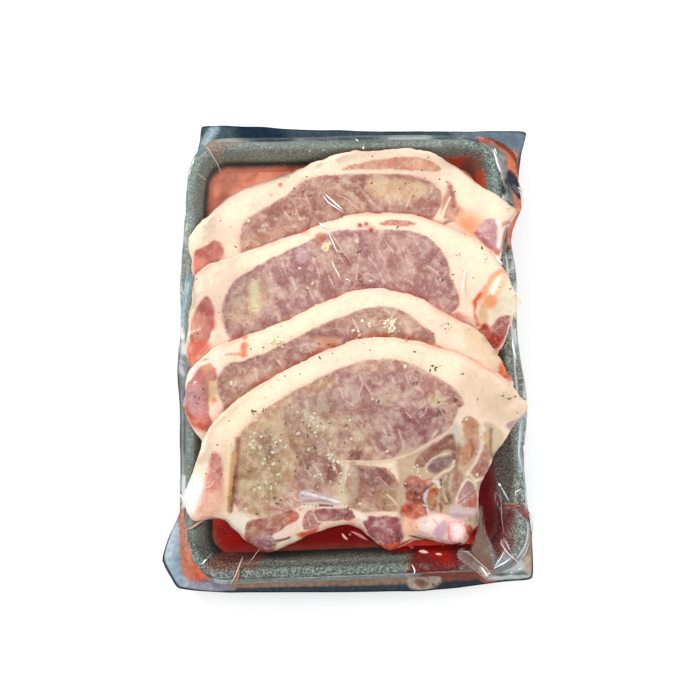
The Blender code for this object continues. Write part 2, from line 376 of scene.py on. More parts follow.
class Canvas:
    """Colour, leanness and relief at places seen from above."""

    def __init__(self, x, y, colour):
        self.x, self.y = x, y
        self.colour = np.tile(np.append(linear(colour), 0.0), (len(x), 1))
        self.lift = np.zeros(len(x))
        self.count = 0
        # On clear film a colour comes in full strength while it is still faint.
        self.eager = False

    def lay(self, where, weight, colour, lean, lift):
        part = weight[:, None]
        if self.eager:
            clear = 1 - self.colour[where, 3:4]
            part = part + (np.minimum(1, 6 * part) - part) * clear
        if colour is not None:
            toned = self.colour[where]
            toned[:, :3] += (linear(colour) - toned[:, :3]) * part
            self.colour[where] = toned
        if lean is not None:
            self.colour[where, 3] += (lean - self.colour[where, 3]) * weight
        self.lift[where] += lift * weight

    def near(self, points, margin):
        low, high = np.min(points, 0) - margin, np.max(points, 0) + margin
        inside = (self.x > low[0]) & (self.x < high[0])
        return np.flatnonzero(inside & (self.y > low[1]) & (self.y < high[1]))

    def wobbled(self, where, gap, wobble):
        self.count += 1
        x, y = self.x[where], self.y[where]
        rough = lumps(x, y, 4.1, self.count) + 0.6 * lumps(x, y, 1.7, self.count + 50)
        return gap + wobble * rough

    def fill(self, controls, colour, soft=1.0, lean=None, lift=0.0, wobble=0.45, most=1.0):
        """A patch inside a smooth outline."""
        controls = path(controls)
        outline = smooth_outline(controls, max(24, 7 * len(controls)))
        where = self.near(outline, soft + 2)
        if len(where):
            depth = inwards(outline, self.x[where], self.y[where])
            depth = self.wobbled(where, depth, wobble)
            self.lay(where, most * ramp(depth, -soft / 2, soft / 2), colour, lean, lift)

    def line(self, points, width, colour, lean=None, lift=0.0, wobble=0.3, most=1.0):
        """A stroke along a line, soft across its width and tapered to its ends."""
        points = path(points)
        points = evenly(points, max(8, 4 * len(points)))
        where = self.near(points, width * 1.6 + 1)
        if len(where):
            gap, _ = distance_to(points, self.x[where], self.y[where], False)
            gap = self.wobbled(where, gap, wobble)
            weight = most * (1 - ramp(gap, width * 0.25, width * 0.85))
            self.lay(where, weight, colour, lean, lift)

    def blot(self, x, y, radius, colour, lean=None, lift=0.0, most=1.0):
        """A soft round mark."""
        where = self.near([(x, y)], radius * 1.4 + 1)
        if len(where):
            gap = np.hypot(self.x[where] - x, self.y[where] - y)
            gap = self.wobbled(where, gap, radius * 0.3)
            weight = most * (1 - ramp(gap, radius * 0.3, radius * 1.15))
            self.lay(where, weight, colour, lean, lift)

    def beside(self, outline, span, width, colour, lean=None, lift=0.0, most=1.0):
        """A band that follows the outside of an outline between two places across."""
        where = self.near(outline, width * 3)
        depth = inwards(outline, self.x[where], self.y[where])
        depth = self.wobbled(where, -depth, width * 0.22)
        across = ramp(self.x[where], span[0], span[0] + 8)
        across = across * (1 - ramp(self.x[where], span[1] - 8, span[1]))
        broken = ramp(lumps(self.x[where], self.y[where], 9, self.count), -0.5, 0.3)
        across = across * (0.3 + 0.7 * broken)
        weight = most * across * (1 - ramp(depth, width * 0.5, width * 1.3))
        self.lay(where, weight, colour, lean, lift)


FAT = (249, 226, 202)
ROSE = (178, 130, 120)
MAUVE = (176, 133, 131)
CREAM = (246, 224, 198)


def paint_fat(canvas, outline):
    """Uneven fat: pinker towards its edge, creamy and faintly green in places."""
    x, y = canvas.x, canvas.y
    everywhere = np.arange(len(x))
    depth = inwards(outline, x, y)
    patchy = ramp(lumps(x, y, 13, 71) + 0.5 * lumps(x, y, 5, 72), 0.0, 0.9)
    canvas.lay(everywhere, 0.35 * patchy, (250, 214, 196), None, 0.0)
    green = ramp(lumps(x, y, 17, 73) + 0.4 * lumps(x, y, 4, 74), 0.25, 1.0)
    canvas.lay(everywhere, 0.3 * green, (238, 228, 190), None, 0.0)
    blush = (1 - ramp(depth, 0.5, 4.5)) * ramp(lumps(x, y, 19, 75), -0.5, 0.6)
    canvas.lay(everywhere, 0.55 * blush, (240, 176, 158), None, 0.0)
    canvas.lift += 0.3 * lumps(x, y, 9, 76) + 0.13 * lumps(x, y, 3.3, 77)
    canvas.lift += 0.05 * lumps(x, y, 1.4, 78)


def paint_marbling(canvas, lines, colour=(236, 208, 194), width=0.62):
    """Fine pale lines through the lean."""
    for points in lines:
        canvas.line(points, width, colour, lean=0.5, lift=-0.05, wobble=0.25, most=0.85)


def paint_patches(canvas, patches):
    """Soft shifts of tone: an outline, its colour, how soft and how strong."""
    for outline, colour, soft, most in patches:
        canvas.fill(outline, colour, soft=soft, most=most)


def paint_chop_1(canvas):
    canvas.fill([(-61, 61), (-60, 72), (-54, 79), (-44, 85), (-35, 90), (-27, 97), (-19, 99),
                 (-6, 99), (17, 98), (36, 97), (47, 94), (53, 88), (53, 80), (48, 73),
                 (36, 66), (0, 62), (-36, 56), (-56, 50)], (243, 205, 186), soft=2.4)
    canvas.fill([(-60, 62), (-59, 71), (-53, 78), (-44, 84), (-35, 89), (-27, 96), (-18, 98),
                 (-6, 98), (17, 97.5), (36, 96), (46, 93), (52, 87), (52, 80), (47, 73),
                 (36, 66), (0, 62), (-36, 56), (-56, 50)], ROSE, lean=0.85, lift=-0.25)
    canvas.fill([(-24, 95), (-14, 97), (-4, 92), (4, 84), (10, 76), (0, 74), (-8, 84)],
                (196, 160, 138), soft=6, lean=0.9, most=0.8)
    canvas.fill([(14, 96), (34, 95), (44, 90), (38, 84), (22, 84), (12, 89)],
                (222, 192, 154), soft=6, lean=0.8, most=0.95)
    canvas.fill([(-58, 64), (-46, 76), (-36, 79), (-40, 66), (-52, 60)], (176, 128, 124),
                soft=6, most=0.7)
    canvas.line([(-6, 92), (2, 88), (8, 82), (12, 76)], 2.2, (222, 196, 170), 0.6, most=0.6)
    canvas.line([(-2, 95), (6, 92), (13, 84)], 1.2, (226, 205, 180), 0.6, most=0.6)
    canvas.fill([(-4, 100.5), (5, 103), (18, 105), (35, 106), (45, 104.5), (52, 101),
                 (49, 98.5), (29, 99.5), (10, 100)], (212, 154, 132), lean=0.6, lift=-0.1)
    canvas.fill("30,105.6 44,104.4 51,101 48,99 34,99.8", (228, 170, 142), soft=4, most=0.8)
    canvas.line([(-6, 100), (10, 99.2), (29, 98.5), (44, 97.5), (52, 94), (55, 86)], 1.5,
                CREAM, lean=0, lift=-0.25)
    canvas.fill([(-84, 47), (-83, 54), (-78, 57), (-74, 61), (-70, 59), (-69, 54), (-72, 48),
                 (-77, 42), (-83, 40)], (186, 104, 92), lean=0.4, lift=-0.15)
    paint_patches(canvas, [("-72,60 -69,58 -69,52 -73,52 -76,56", (196, 116, 108), 4, 0.8),
                           ("-84,50 -80,51 -77,46 -79,41 -84,40", (222, 138, 116), 5, 0.9)])
    canvas.fill([(56, 92), (58.5, 90), (60, 82), (64, 74), (62, 69), (54, 72), (52, 76)],
                (204, 150, 132), soft=2.5, lean=0.5, lift=-0.3)
    canvas.line([(57.5, 90), (58.5, 84), (59, 79)], 2.2, (160, 92, 78), 0.6, -0.4, most=0.8)
    canvas.line([(61, 76), (59, 71), (54, 70)], 1.8, (150, 92, 66), 0.6, -0.2, most=0.7)
    canvas.line([(52, 72), (54, 78), (57, 84)], 1.2, (246, 226, 204), 0, 0.1)
    canvas.blot(57.3, 89.5, 1.4, (160, 36, 28))
    canvas.fill([(58, 74), (66, 76), (74, 68), (71, 60), (62, 66)], (248, 192, 150), soft=6,
                most=0.8)
    canvas.fill([(61, 70), (67, 71), (71, 65), (69, 60), (63, 65)], (232, 142, 96), soft=5,
                most=0.75)
    canvas.fill([(76, 69), (80.5, 67), (80, 60), (80.5, 53), (74, 53), (69.5, 61), (72, 66)],
                (206, 160, 166), lean=0.7, lift=-0.2)
    canvas.line([(70, 62), (75, 55), (80, 50)], 2.2, (178, 92, 92), 0.6, most=0.8)
    canvas.fill("-52,80 -40,88 -30,93 -24,98 -30,100 -44,92 -56,84", (243, 206, 186), soft=6,
                most=0.7)
    canvas.fill("84,67 90,66 86,58 84,53 82,52 83,60", (214, 140, 112), soft=2, lean=0.2)
    # Near-white lines over the fat here: a painted highlight.
    canvas.line("81.4,67 82.4,60.5 81,53", 1.8, (242, 238, 232), 0, wobble=0.5)
    canvas.line("82.6,60 85,64.6 88.4,66", 1.5, (240, 234, 228), 0, wobble=0.5)
    canvas.line("79,52.6 82,50.6 84.6,52", 1.2, (206, 150, 150), 0.2)
    canvas.fill([(-60, 62), (-52, 66), (-38, 71), (-30, 72), (-44, 62), (-58, 54)],
                (200, 158, 132), soft=4, lean=0.6, most=0.7)
    # Along the edge of the chop that lies on this one: red of gathered juice, darkened there as painted
    # shade.
    canvas.beside(chop_outline("chop_2"), (-50, 58), 2.4,
                  (196, 72, 55), lean=0.5, lift=-0.2)
    canvas.beside(chop_outline("chop_2"), (-66, 70), 1.1,
                  (150, 62, 50), most=0.7)
    canvas.blot(-38, 96, 1.5, (196, 140, 112))
    canvas.blot(-43, 90, 1.1, (226, 170, 150))
    paint_marbling(canvas, [[(-30, 86), (-29, 80), (-27, 75)], [(-24, 90), (-22, 84)],
                            [(-47, 74), (-44, 70)], [(-36, 80), (-33, 76)],
                            [(20, 90), (24, 82), (22, 76)], [(36, 88), (33, 80)]])
    for x, y, size in [(-50, 69, 1.5), (-48, 72, 1.2), (-33, 83, 1.6), (-31, 79, 1.3),
                       (-27, 87, 1.0), (-41, 76, 0.9), (-20, 90, 0.9), (28, 87, 1.1)]:
        canvas.blot(x, y, size, (226, 205, 186), lean=0.3, most=0.8)


def paint_chop_2(canvas):
    eye = [(-67, 10), (-69, 20), (-67, 29), (-59, 40), (-49, 46), (-39, 52), (-26, 58),
           (-15, 63.5), (-4, 65.5), (8, 66), (20, 65), (33, 64), (44, 59), (51, 51),
           (53, 44), (54, 36), (57, 28), (57, 20), (45, 16), (21, 24), (5, 24), (-17, 18),
           (-39, 11), (-58, 4)]
    canvas.fill(eye, (242, 200, 184), soft=4.5, wobble=0.6)
    canvas.fill(eye, MAUVE, lean=0.85, lift=-0.3)
    canvas.fill([(-66, 20), (-60, 32), (-48, 40), (-42, 30), (-50, 20), (-60, 14)],
                (214, 186, 162), soft=9, lean=0.9, most=0.85)
    canvas.fill([(-20, 60), (-6, 60), (4, 52), (0, 38), (-12, 42), (-20, 50)],
                (196, 158, 142), soft=7, most=0.6)
    canvas.fill([(-8, 56), (0, 48), (8, 36), (12, 30), (4, 32), (-4, 42), (-10, 50)],
                (158, 96, 98), soft=4, lean=1, most=0.75)
    canvas.fill([(14, 64), (30, 62), (40, 52), (42, 38), (28, 30), (18, 40), (12, 54)],
                (190, 148, 140), soft=8, most=0.7)
    canvas.line([(1, 66.2), (11, 66.3), (20, 66), (33, 65), (42, 61.5), (50, 53), (54, 44)],
                1.3, CREAM, lean=0, lift=-0.2)
    canvas.fill([(17, 69), (25, 70.8), (37, 68), (31, 67), (19, 67.2)], (206, 134, 118),
                lean=0.8)
    canvas.blot(-15.5, 61.5, 4.0, (196, 118, 104), lean=0.8, most=0.9)
    canvas.blot(-24, 66, 3.0, (232, 160, 148), most=0.7)
    for x, y in [(6, 68), (9.5, 68.5), (12, 65)]:
        canvas.blot(x, y, 2.6, (226, 150, 140), most=0.8)
        canvas.blot(x, y, 1.3, (150, 66, 60), lean=0.4)
    for x, y, size in [(-13, 56, 2.4), (-11, 58, 1.7), (4, 59, 2.0)]:
        canvas.blot(x, y, size, (240, 222, 180), lean=0, lift=0.15)
    canvas.fill([(-29, 55), (-24.5, 55.5), (-24, 48.5), (-28.5, 48)], (206, 178, 182),
                soft=0.8, lean=0.6, most=0.8)
    canvas.fill([(-54, 36), (-50, 36), (-49, 28), (-50, 21), (-54, 22), (-55, 30)],
                (232, 226, 176), soft=3, lean=0.3, lift=0.2, most=0.85)
    for x, y, size in [(28, 42, 3.2), (34, 47, 3.0), (42, 53, 2.6), (46, 45, 2.6),
                       (16, 50, 2.4), (-1, 42, 2.4), (-38, 30, 3.2), (-30, 22, 2.6),
                       (-58, 22, 2.2), (-44, 26, 2.2), (8, 44, 2.2)]:
        canvas.blot(x, y, size, (214, 186, 176), lean=0.5, most=0.6)
    paint_marbling(canvas, [
        [(10, 50), (15, 43), (18, 36)], [(16, 54), (19, 47)], [(29, 55), (31, 48), (35, 43)],
        [(20, 58), (24, 52)], [(28, 38), (34, 34)], [(42, 44), (47, 40), (49, 34)],
        [(-37, 48), (-35, 42)], [(-20, 50), (-17, 40), (-19, 34)], [(-12, 40), (-9, 33)],
        [(-32, 40), (-30, 33)], [(-44, 44), (-42, 37)], [(36, 58), (39, 52)],
        [(-24, 34), (-20, 27)], [(4, 46), (3, 38)]])
    canvas.fill([(-76, 28), (-73, 21), (-74, 12), (-77, 4), (-82, -2), (-87, -4), (-86, 8),
                 (-84, 18), (-80, 25)], (188, 110, 98), lean=0.4, lift=-0.2)
    paint_patches(canvas, [("-77,28 -73,22 -73,12 -76,12 -78,22", (194, 106, 102), 3.5, 0.8),
                           ("-84,20 -79,18 -78,8 -83,6 -86,12", (208, 146, 124), 5, 0.8),
                           ("-86,4 -78,6 -75,2 -80,-3 -87,-4", (214, 102, 82), 4, 0.85)])
    canvas.fill("-89,-4 -84,-3 -80,-7 -86,-14 -90,-14", (226, 112, 80), soft=2.5, lean=0.2,
                most=0.85)
    canvas.blot(-71, 8, 2.5, (236, 200, 180), most=0.6)
    # Along the edge of the chop that lies on this one: red of gathered juice, darkened there as painted
    # shade.
    red = chop_outline("chop_3")
    canvas.beside(red, (-92, 40), 1.4, (206, 118, 98), lean=0.4, lift=-0.1)
    canvas.beside(red, (-10, 70), 2.2, (186, 84, 66), lean=0.5, lift=-0.2)
    canvas.beside(red, (38, 90), 4.4, (196, 56, 38), lean=0.5, lift=-0.3)
    canvas.beside(red, (44, 70), 1.6, (150, 30, 22), most=0.8)
    canvas.fill([(82, 37), (88, 28), (90, 22), (86, 15), (80, 13.5), (77, 9), (72, 12),
                 (69, 20), (71, 27), (77, 33)], (240, 228, 202), soft=1.5, lean=0, lift=0.4)
    canvas.line([(81.7, 38), (78.5, 36.8), (75, 35), (72.4, 29.8), (69.3, 26), (66.5, 22)],
                2.6, (246, 170, 132), lean=0.1, lift=-0.5, wobble=0.6)
    canvas.line([(81, 34), (78.5, 29), (76.5, 24.4), (73.5, 20)], 3.0, (248, 204, 172), 0.1,
                -0.2, wobble=0.6)
    canvas.fill([(76.5, 25), (71, 26), (69.5, 21), (73, 18.5), (76, 20)], (230, 152, 104),
                soft=3, most=0.9)
    canvas.line([(77.5, 33), (75.5, 29), (74.5, 25.5)], 0.9, (255, 246, 240), 0, 0.2)
    canvas.line([(69, 26.5), (66, 22.5), (65.9, 16), (67.4, 11)], 1.7, (214, 88, 58), 0.3,
                -0.3, wobble=0.5)
    canvas.fill([(70, 21), (73, 15), (71.5, 9), (67.5, 12), (67.5, 18)], (212, 178, 138),
                soft=2.5, most=0.85)
    canvas.fill([(79, 14), (84.6, 14.2), (83, 7), (80, 2.5), (76, 4.6), (74, 9), (77, 12)],
                (190, 120, 114), soft=1, lean=0.9, lift=-0.2)
    canvas.fill([(71, 11), (74, 7.7), (78, 5), (81, 3), (78, -2), (72, -1), (67, 6)],
                (172, 44, 30), soft=2, lean=0.5, lift=-0.3)
    canvas.blot(74.5, 8.5, 0.9, (240, 160, 140))


def paint_chop_3(canvas):
    eye = [(-70, -14), (-65, -8), (-57, -6), (-46, -2.5), (-36, 2), (-27, 6), (-17, 11),
           (-6, 15), (5, 19), (17, 20), (28, 17), (36, 10), (43, 4), (40, -5), (25, -7),
           (3, -10), (-18, -18), (-39, -28), (-58, -38), (-68, -33), (-70, -25), (-71, -19)]
    canvas.fill(eye, (242, 206, 190), soft=4.0, wobble=0.6)
    canvas.fill(eye, (178, 134, 126), lean=0.85, lift=-0.25)
    canvas.fill([(-69, -16), (-58, -9), (-50, -12), (-50, -22), (-60, -28), (-70, -24)],
                (188, 150, 134), soft=7, most=0.8)
    canvas.fill([(-22, 5), (-4, 12), (2, 4), (-8, -4), (-22, -4)], (166, 118, 120), soft=6,
                most=0.7)
    canvas.fill([(10, 18), (24, 16), (34, 8), (28, 2), (12, 4), (4, 12)], (194, 158, 140),
                soft=6, most=0.7)
    canvas.fill([(-20, 4), (-10, 5), (-6, 0), (-12, -4), (-20, -1)], (212, 152, 112),
                soft=3, lean=0.5, most=0.9)
    canvas.blot(-7, 1, 3.0, (240, 214, 190), lean=0, lift=0.5)
    for x, y in [(-18, 1.5), (-11, -0.5), (-13, 1)]:
        canvas.blot(x, y, 1.0, (96, 50, 44), lean=0.3)
    canvas.line([(-34, 0), (-24, 2), (-14, 0)], 0.9, (214, 190, 196), most=0.7)
    for x, y, size in [(-60, -17, 3.2), (-54, -14, 2.4), (-44, -10, 2.2), (16, 8, 3),
                       (-30, -4, 2.0), (30, 8, 2.2), (2, 10, 2.0), (-62, -25, 2.4)]:
        canvas.blot(x, y, size, (214, 190, 174), lean=0.5, most=0.6)
    paint_marbling(canvas, [[(-40, -6), (-36, -12)], [(-24, 0), (-20, -6)], [(0, 14), (4, 6)],
                            [(20, 14), (22, 8)], [(-52, -10), (-50, -18)]])
    canvas.fill([(-77, -5), (-72, -7), (-71, -14), (-74, -22), (-76, -33), (-75, -39),
                 (-81, -39), (-87, -34), (-88, -25), (-86, -17), (-80, -10)],
                (196, 122, 112), lean=0.4, lift=-0.2)
    paint_patches(canvas, [("-79,-6 -73,-7 -72,-10 -78,-11", (216, 158, 118), 3, 0.9),
                           ("-90,-24 -82,-17 -78,-24 -79,-34 -84,-37 -89,-30", (214, 160, 162), 5,
                            0.9),
                           ("-87,-34 -80,-35 -76,-38 -80,-42 -87,-38", (208, 104, 84), 3, 0.8)])
    canvas.line([(-88, -30), (-84, -37), (-77, -41), (-73, -40)], 2.4, (196, 92, 66), 0.5)
    canvas.line([(-73.4, -18), (-74, -28)], 3.0, (232, 204, 156), lean=0.2)
    canvas.blot(-73, -26, 2.2, (226, 150, 104))
    canvas.blot(-70.5, -30, 3.0, (244, 214, 204), lean=0, lift=0.4)
    canvas.line([(-56.2, 9.6), (-57, 6.4)], 2.6, (212, 148, 104), lean=0.2, lift=-0.2)
    canvas.line([(-57, 2), (-57.6, -3)], 3.2, (222, 132, 92), lean=0.2, lift=-0.2)
    canvas.line([(-58, -2.6), (-66, -3)], 1.2, (226, 152, 124), lean=0.2, most=0.8)
    canvas.line([(-70, -10), (-74, -6), (-80, -8), (-86, -16)], 2.0, (244, 226, 214), 0)
    # Along the edge of the chop that lies on this one: red of gathered juice, darkened there as painted
    # shade.
    ahead = chop_outline("chop_4")
    canvas.beside(ahead, (-70, 46), 2.6, (204, 118, 92), lean=0.5, lift=-0.25)
    canvas.beside(ahead, (-60, 40), 1.0, (166, 74, 58), most=0.7)
    canvas.beside(ahead, (34, 70), 1.6, (222, 134, 96), lean=0.2, lift=-0.2)
    canvas.fill([(58, 10), (70, 6), (79, -10), (84, -22), (76, -20), (68, -8), (60, -2)],
                (226, 200, 166), soft=5, most=0.8)
    for x, y, size in [(66, 12, 2.2), (70, 2, 2.6), (75, -6, 2.2)]:
        canvas.blot(x, y, size, (204, 160, 134), most=0.6)
    canvas.blot(67, 11, 1.6, (176, 120, 130), most=0.8)
    canvas.fill([(78.5, -10), (85, -13), (85, -20), (76, -17)], (232, 112, 76), soft=2.5,
                lean=0.3)
    canvas.line([(83, -12), (84, -17), (80, -18)], 1.6, (190, 54, 36), most=0.8)


def paint_chop_4(canvas):
    eye = [(-60, -46), (-53, -38), (-42, -29.5), (-26, -20.5), (-10, -13.5), (3, -9), (19, -8.5),
           (33, -13), (46, -20.5), (52, -26), (56, -32), (53, -34), (51.5, -39), (47, -47),
           (36, -53.5), (26, -59), (10, -60.5), (-6, -61), (-7, -69), (-9, -76), (-16, -78),
           (-28, -76), (-30, -82), (-41, -86.5), (-51, -88), (-62, -83), (-64, -72),
           (-62, -58)]
    canvas.fill(eye, (244, 210, 190), soft=4.2, wobble=0.6)
    canvas.fill(eye, (204, 164, 146), lean=1, lift=-0.25)
    canvas.fill([(-60, -47), (-46, -34), (-26, -22), (-12, -20), (-10, -34), (-16, -50),
                 (-26, -62), (-38, -74), (-46, -86), (-58, -84), (-62, -66)],
                (210, 182, 142), soft=9, lean=0.85, most=0.95)
    canvas.fill([(-36, -30), (-22, -24), (-10, -30), (-14, -44), (-28, -48), (-38, -40)],
                (184, 148, 136), soft=8, most=0.7)
    canvas.fill([(-24, -50), (-12, -46), (-8, -58), (-14, -70), (-26, -66)],
                (176, 132, 116), soft=7, most=0.8)
    canvas.fill([(-8, -16), (14, -11), (34, -16), (46, -24), (44, -34), (20, -28), (0, -26)],
                (204, 160, 152), soft=8, lean=1, most=0.8)
    canvas.fill([(18, -36), (34, -30), (45, -36), (47, -43), (38, -50), (24, -56),
                 (14, -56), (12, -46)], (166, 110, 112), soft=8, lean=1, most=0.9)
    canvas.fill([(0, -30), (12, -34), (12, -50), (0, -56), (-8, -46)], (184, 142, 128),
                soft=8, most=0.7)
    canvas.fill([(42, -20), (52, -26.5), (55, -32), (50, -31), (45, -27)], (182, 128, 124),
                soft=2, lean=1)
    paint_patches(canvas, [
        ("-33,-25 -22,-22 -8,-23 -6,-31 -18,-33 -30,-31", (172, 142, 134), 6, 0.6),
        ("-34,-46 -31,-49 -27,-56 -22,-63 -18,-69 -21,-71 -26,-64 -31,-56 -35,-51",
         (150, 94, 82), 3.5, 0.6),
        ("-27,-52 -20,-50 -15,-56 -14,-66 -18,-74 -26,-74 -32,-66", (158, 112, 106), 5, 0.55),
        ("-16,-56 -11,-59 -8,-64 -10,-71 -15,-69 -17,-62", (145, 88, 80), 3, 0.6),
        ("-3,-54 3,-55 8,-58 6,-61 0,-60 -4,-57", (142, 74, 68), 2, 0.8),
        ("-61,-53 -49,-51 -40,-57 -38,-68 -42,-78 -52,-80 -60,-74", (178, 156, 116), 6, 0.6),
        ("-50,-44 -44,-41 -42,-47 -47,-50 -52,-48", (150, 108, 96), 3, 0.6),
        ("-46,-49 -40,-50 -40,-55 -47,-56", (140, 112, 110), 3, 0.5),
        ("-28,-32 -22,-35 -15,-40 -10,-43 -13,-45 -21,-41 -27,-36", (228, 212, 184), 3, 0.7),
        ("-3,-40 3,-45 7,-51 3,-52 -2,-47", (224, 208, 172), 2.5, 0.6),
        ("-50,-78 -35,-78 -28,-72 -30,-82 -40,-85 -49,-84", (204, 150, 134), 4, 0.6),
        ("4,-15 25,-17 39,-26 45,-37 38,-48 25,-54 15,-49 9,-39 3,-28", (182, 138, 138), 7,
         0.55),
        ("24,-33 37,-32 45,-38 43,-46 30,-51 18,-50 20,-42", (164, 102, 108), 6, 0.8),
        ("13,-24 18,-25 20,-29 16,-32 11,-29", (222, 206, 184), 3, 0.8),
        ("39,-27 44,-28 43,-32 40,-33 38,-30", (226, 212, 160), 2.5, 0.8),
        ("28,-18 34,-20 33,-25 27,-24", (198, 170, 160), 3, 0.6),
        ("27,-27 33,-27 34,-31 28,-32", (196, 164, 160), 3, 0.6),
        ("-19,-17 -2,-13 3,-24 -2,-33 -15,-29", (186, 152, 150), 6, 0.5),
        ("-24,-20 -12,-16 -10,-21 -22,-24", (206, 176, 138), 4, 0.6)])
    for x, y in path("-42,-47 -52,-49 -52,-59 -23,-37 -18.5,-39 -12,-51 -13,-57 -7,-58 7,-54"
                     " -55,-70 -50,-74 -41,-72 -52,-81 -45,-80 -46,-69 -60,-55"):
        canvas.blot(x, y, 2.3, (226, 210, 174), lean=0.5, most=0.6)
    for x, y, size in [(52, -30, 1.6), (54, -33, 1.4), (33, -15.5, 1.2), (31.5, -14.8, 1.0)]:
        canvas.blot(x, y, size, (112, 40, 34), lean=0.6, most=0.85)
    for x, y, size in [(13, -27, 4.4), (3, -47, 4.2), (28, -24, 2.6), (34, -32, 3.2),
                       (24, -40, 2.4), (-20, -38, 3.4), (-30, -34, 2.6), (-6, -38, 2.4),
                       (30, -50, 2.4), (-40, -46, 3.0), (10, -18, 2.6), (-4, -22, 2.6),
                       (40, -30, 2.2), (20, -48, 2.2), (-48, -66, 2.8), (-34, -62, 2.4)]:
        canvas.blot(x, y, size, (218, 196, 172), lean=0.5, most=0.62)
    paint_marbling(canvas, [
        "6,-22 8,-25 12,-26.5 13.5,-32 16.5,-37", "16,-39 18,-43 20,-47.5", "31,-22 35,-25.5",
        "37,-32 36.5,-36 33.5,-38", "26,-35 28.5,-38", "43,-44 40.5,-48 39,-50.5",
        "-23,-59 -20,-65 -17,-71", "-17,-48 -14,-55 -11,-64 -9,-68", "-29,-56 -26,-63 -24,-67",
        "-49,-42 -44,-49 -40,-56", "-45,-81 -38,-84 -30,-85", "2,-14 4,-20 2,-26",
        "-8,-22 -6,-28 -1,-31", "18,-14 20,-20", "14,-42 16,-48", "-26,-26 -24,-34",
        "-42,-76 -34,-82", "-38,-74 -30,-80", "26,-16 28,-21", "22,-44 25,-52 24,-57",
        "1,-36 4,-40", "8,-48 11,-55", "-36,-50 -30,-60", "-56,-56 -50,-62"])
    canvas.line("-8,-60 10,-60.8 24,-59.5 34,-54.5 46,-47.5 52,-42", 1.7, (234, 210, 184), 0,
                -0.15)
    canvas.line("-6,-60 -7,-69 -9,-77", 1.3, (222, 206, 172), lean=0.1)
    canvas.fill("-2,-62 10,-63 18,-65.5 23,-74 25,-80 23,-86.5 14,-86.5 -1,-86 -6,-80 -6,-70",
                (190, 148, 124), lean=0.9, lift=-0.2)
    paint_patches(canvas, [
        ("-1,-63 8,-63 16,-66 19,-73 13,-75 4,-71 -1,-68", (142, 78, 80), 2.5, 0.9),
        ("12,-74 19,-75 22,-82 21,-87 14,-84", (188, 164, 120), 4, 0.6),
        ("-2,-76 6,-75 12,-80 10,-86 0,-86", (190, 150, 134), 5, 0.5)])
    canvas.line("-2,-62 -1,-70 -2,-78 -5,-82", 4.0, (196, 176, 150), 0.4, most=0.8)
    canvas.line("23.5,-66 25,-73 25.5,-80 25,-86", 1.3, (244, 236, 222), 0, 0.2)
    canvas.line("16,-78 20,-82 23,-86", 0.7, (232, 214, 180), 0.3)
    canvas.line("7,-68 12,-69 16,-73", 0.6, (206, 160, 150), 0.5)
    canvas.fill("-30,-75 -24,-74 -17,-76.5 -10,-79 -6.5,-81 -10,-83 -17,-82 -24,-81.5 -30,-81",
                (208, 190, 188), soft=1.4, lean=0.1, lift=0.25)
    canvas.line("-29,-75 -24,-76.5 -17,-78.5 -9,-81", 0.9, (252, 246, 242), lift=0.2)
    canvas.line("-28,-80 -20,-79.6 -13,-81", 0.9, (186, 146, 148), lift=-0.3)
    canvas.line("-23,-82.8 -18.5,-82.4 -13,-83", 0.9, (150, 84, 60), lift=-0.4)
    canvas.line("-8.5,-70 -9,-75 -8,-80 -5.5,-83.5", 1.0, (234, 220, 184), 0.1)
    canvas.fill("-11,-73.5 -8,-71.5 -5.5,-76 -5.5,-82 -9,-81", (222, 206, 166), soft=2.5,
                lean=0.2, most=0.7)
    canvas.line("-62,-84.5 -50,-88.5 -40,-87 -30,-84 -20,-84.6 -10,-84 -2,-86 4,-88.6 12,-88.2"
                " 24,-89", 1.8, (240, 214, 190), 0, -0.2)
    # Lines along the fold where the left strip bends up: the brown and dark brown ones are painted shade
    # in the fold.
    canvas.line("-60.5,-47 -61.5,-55 -62.6,-66 -64,-78", 2.6, (164, 108, 84), lean=0.5,
                lift=-0.35, wobble=0.5)
    canvas.line("-63,-54 -64.6,-63 -65.4,-73 -66.4,-83", 2.2, (218, 160, 106), lean=0.2,
                lift=-0.4, wobble=0.5)
    canvas.line([(-66.5, -48), (-67.6, -60), (-68, -72), (-68.4, -80)], 2.0, (246, 220, 176),
                lean=0, lift=0.2)
    canvas.line("-62.4,-60 -63.8,-69 -64.6,-77 -66,-85", 0.9, (104, 66, 38), 0.3, -0.6)
    canvas.line("-65.6,-77 -66,-83", 2.6, (164, 122, 78), 0.3, most=0.8)
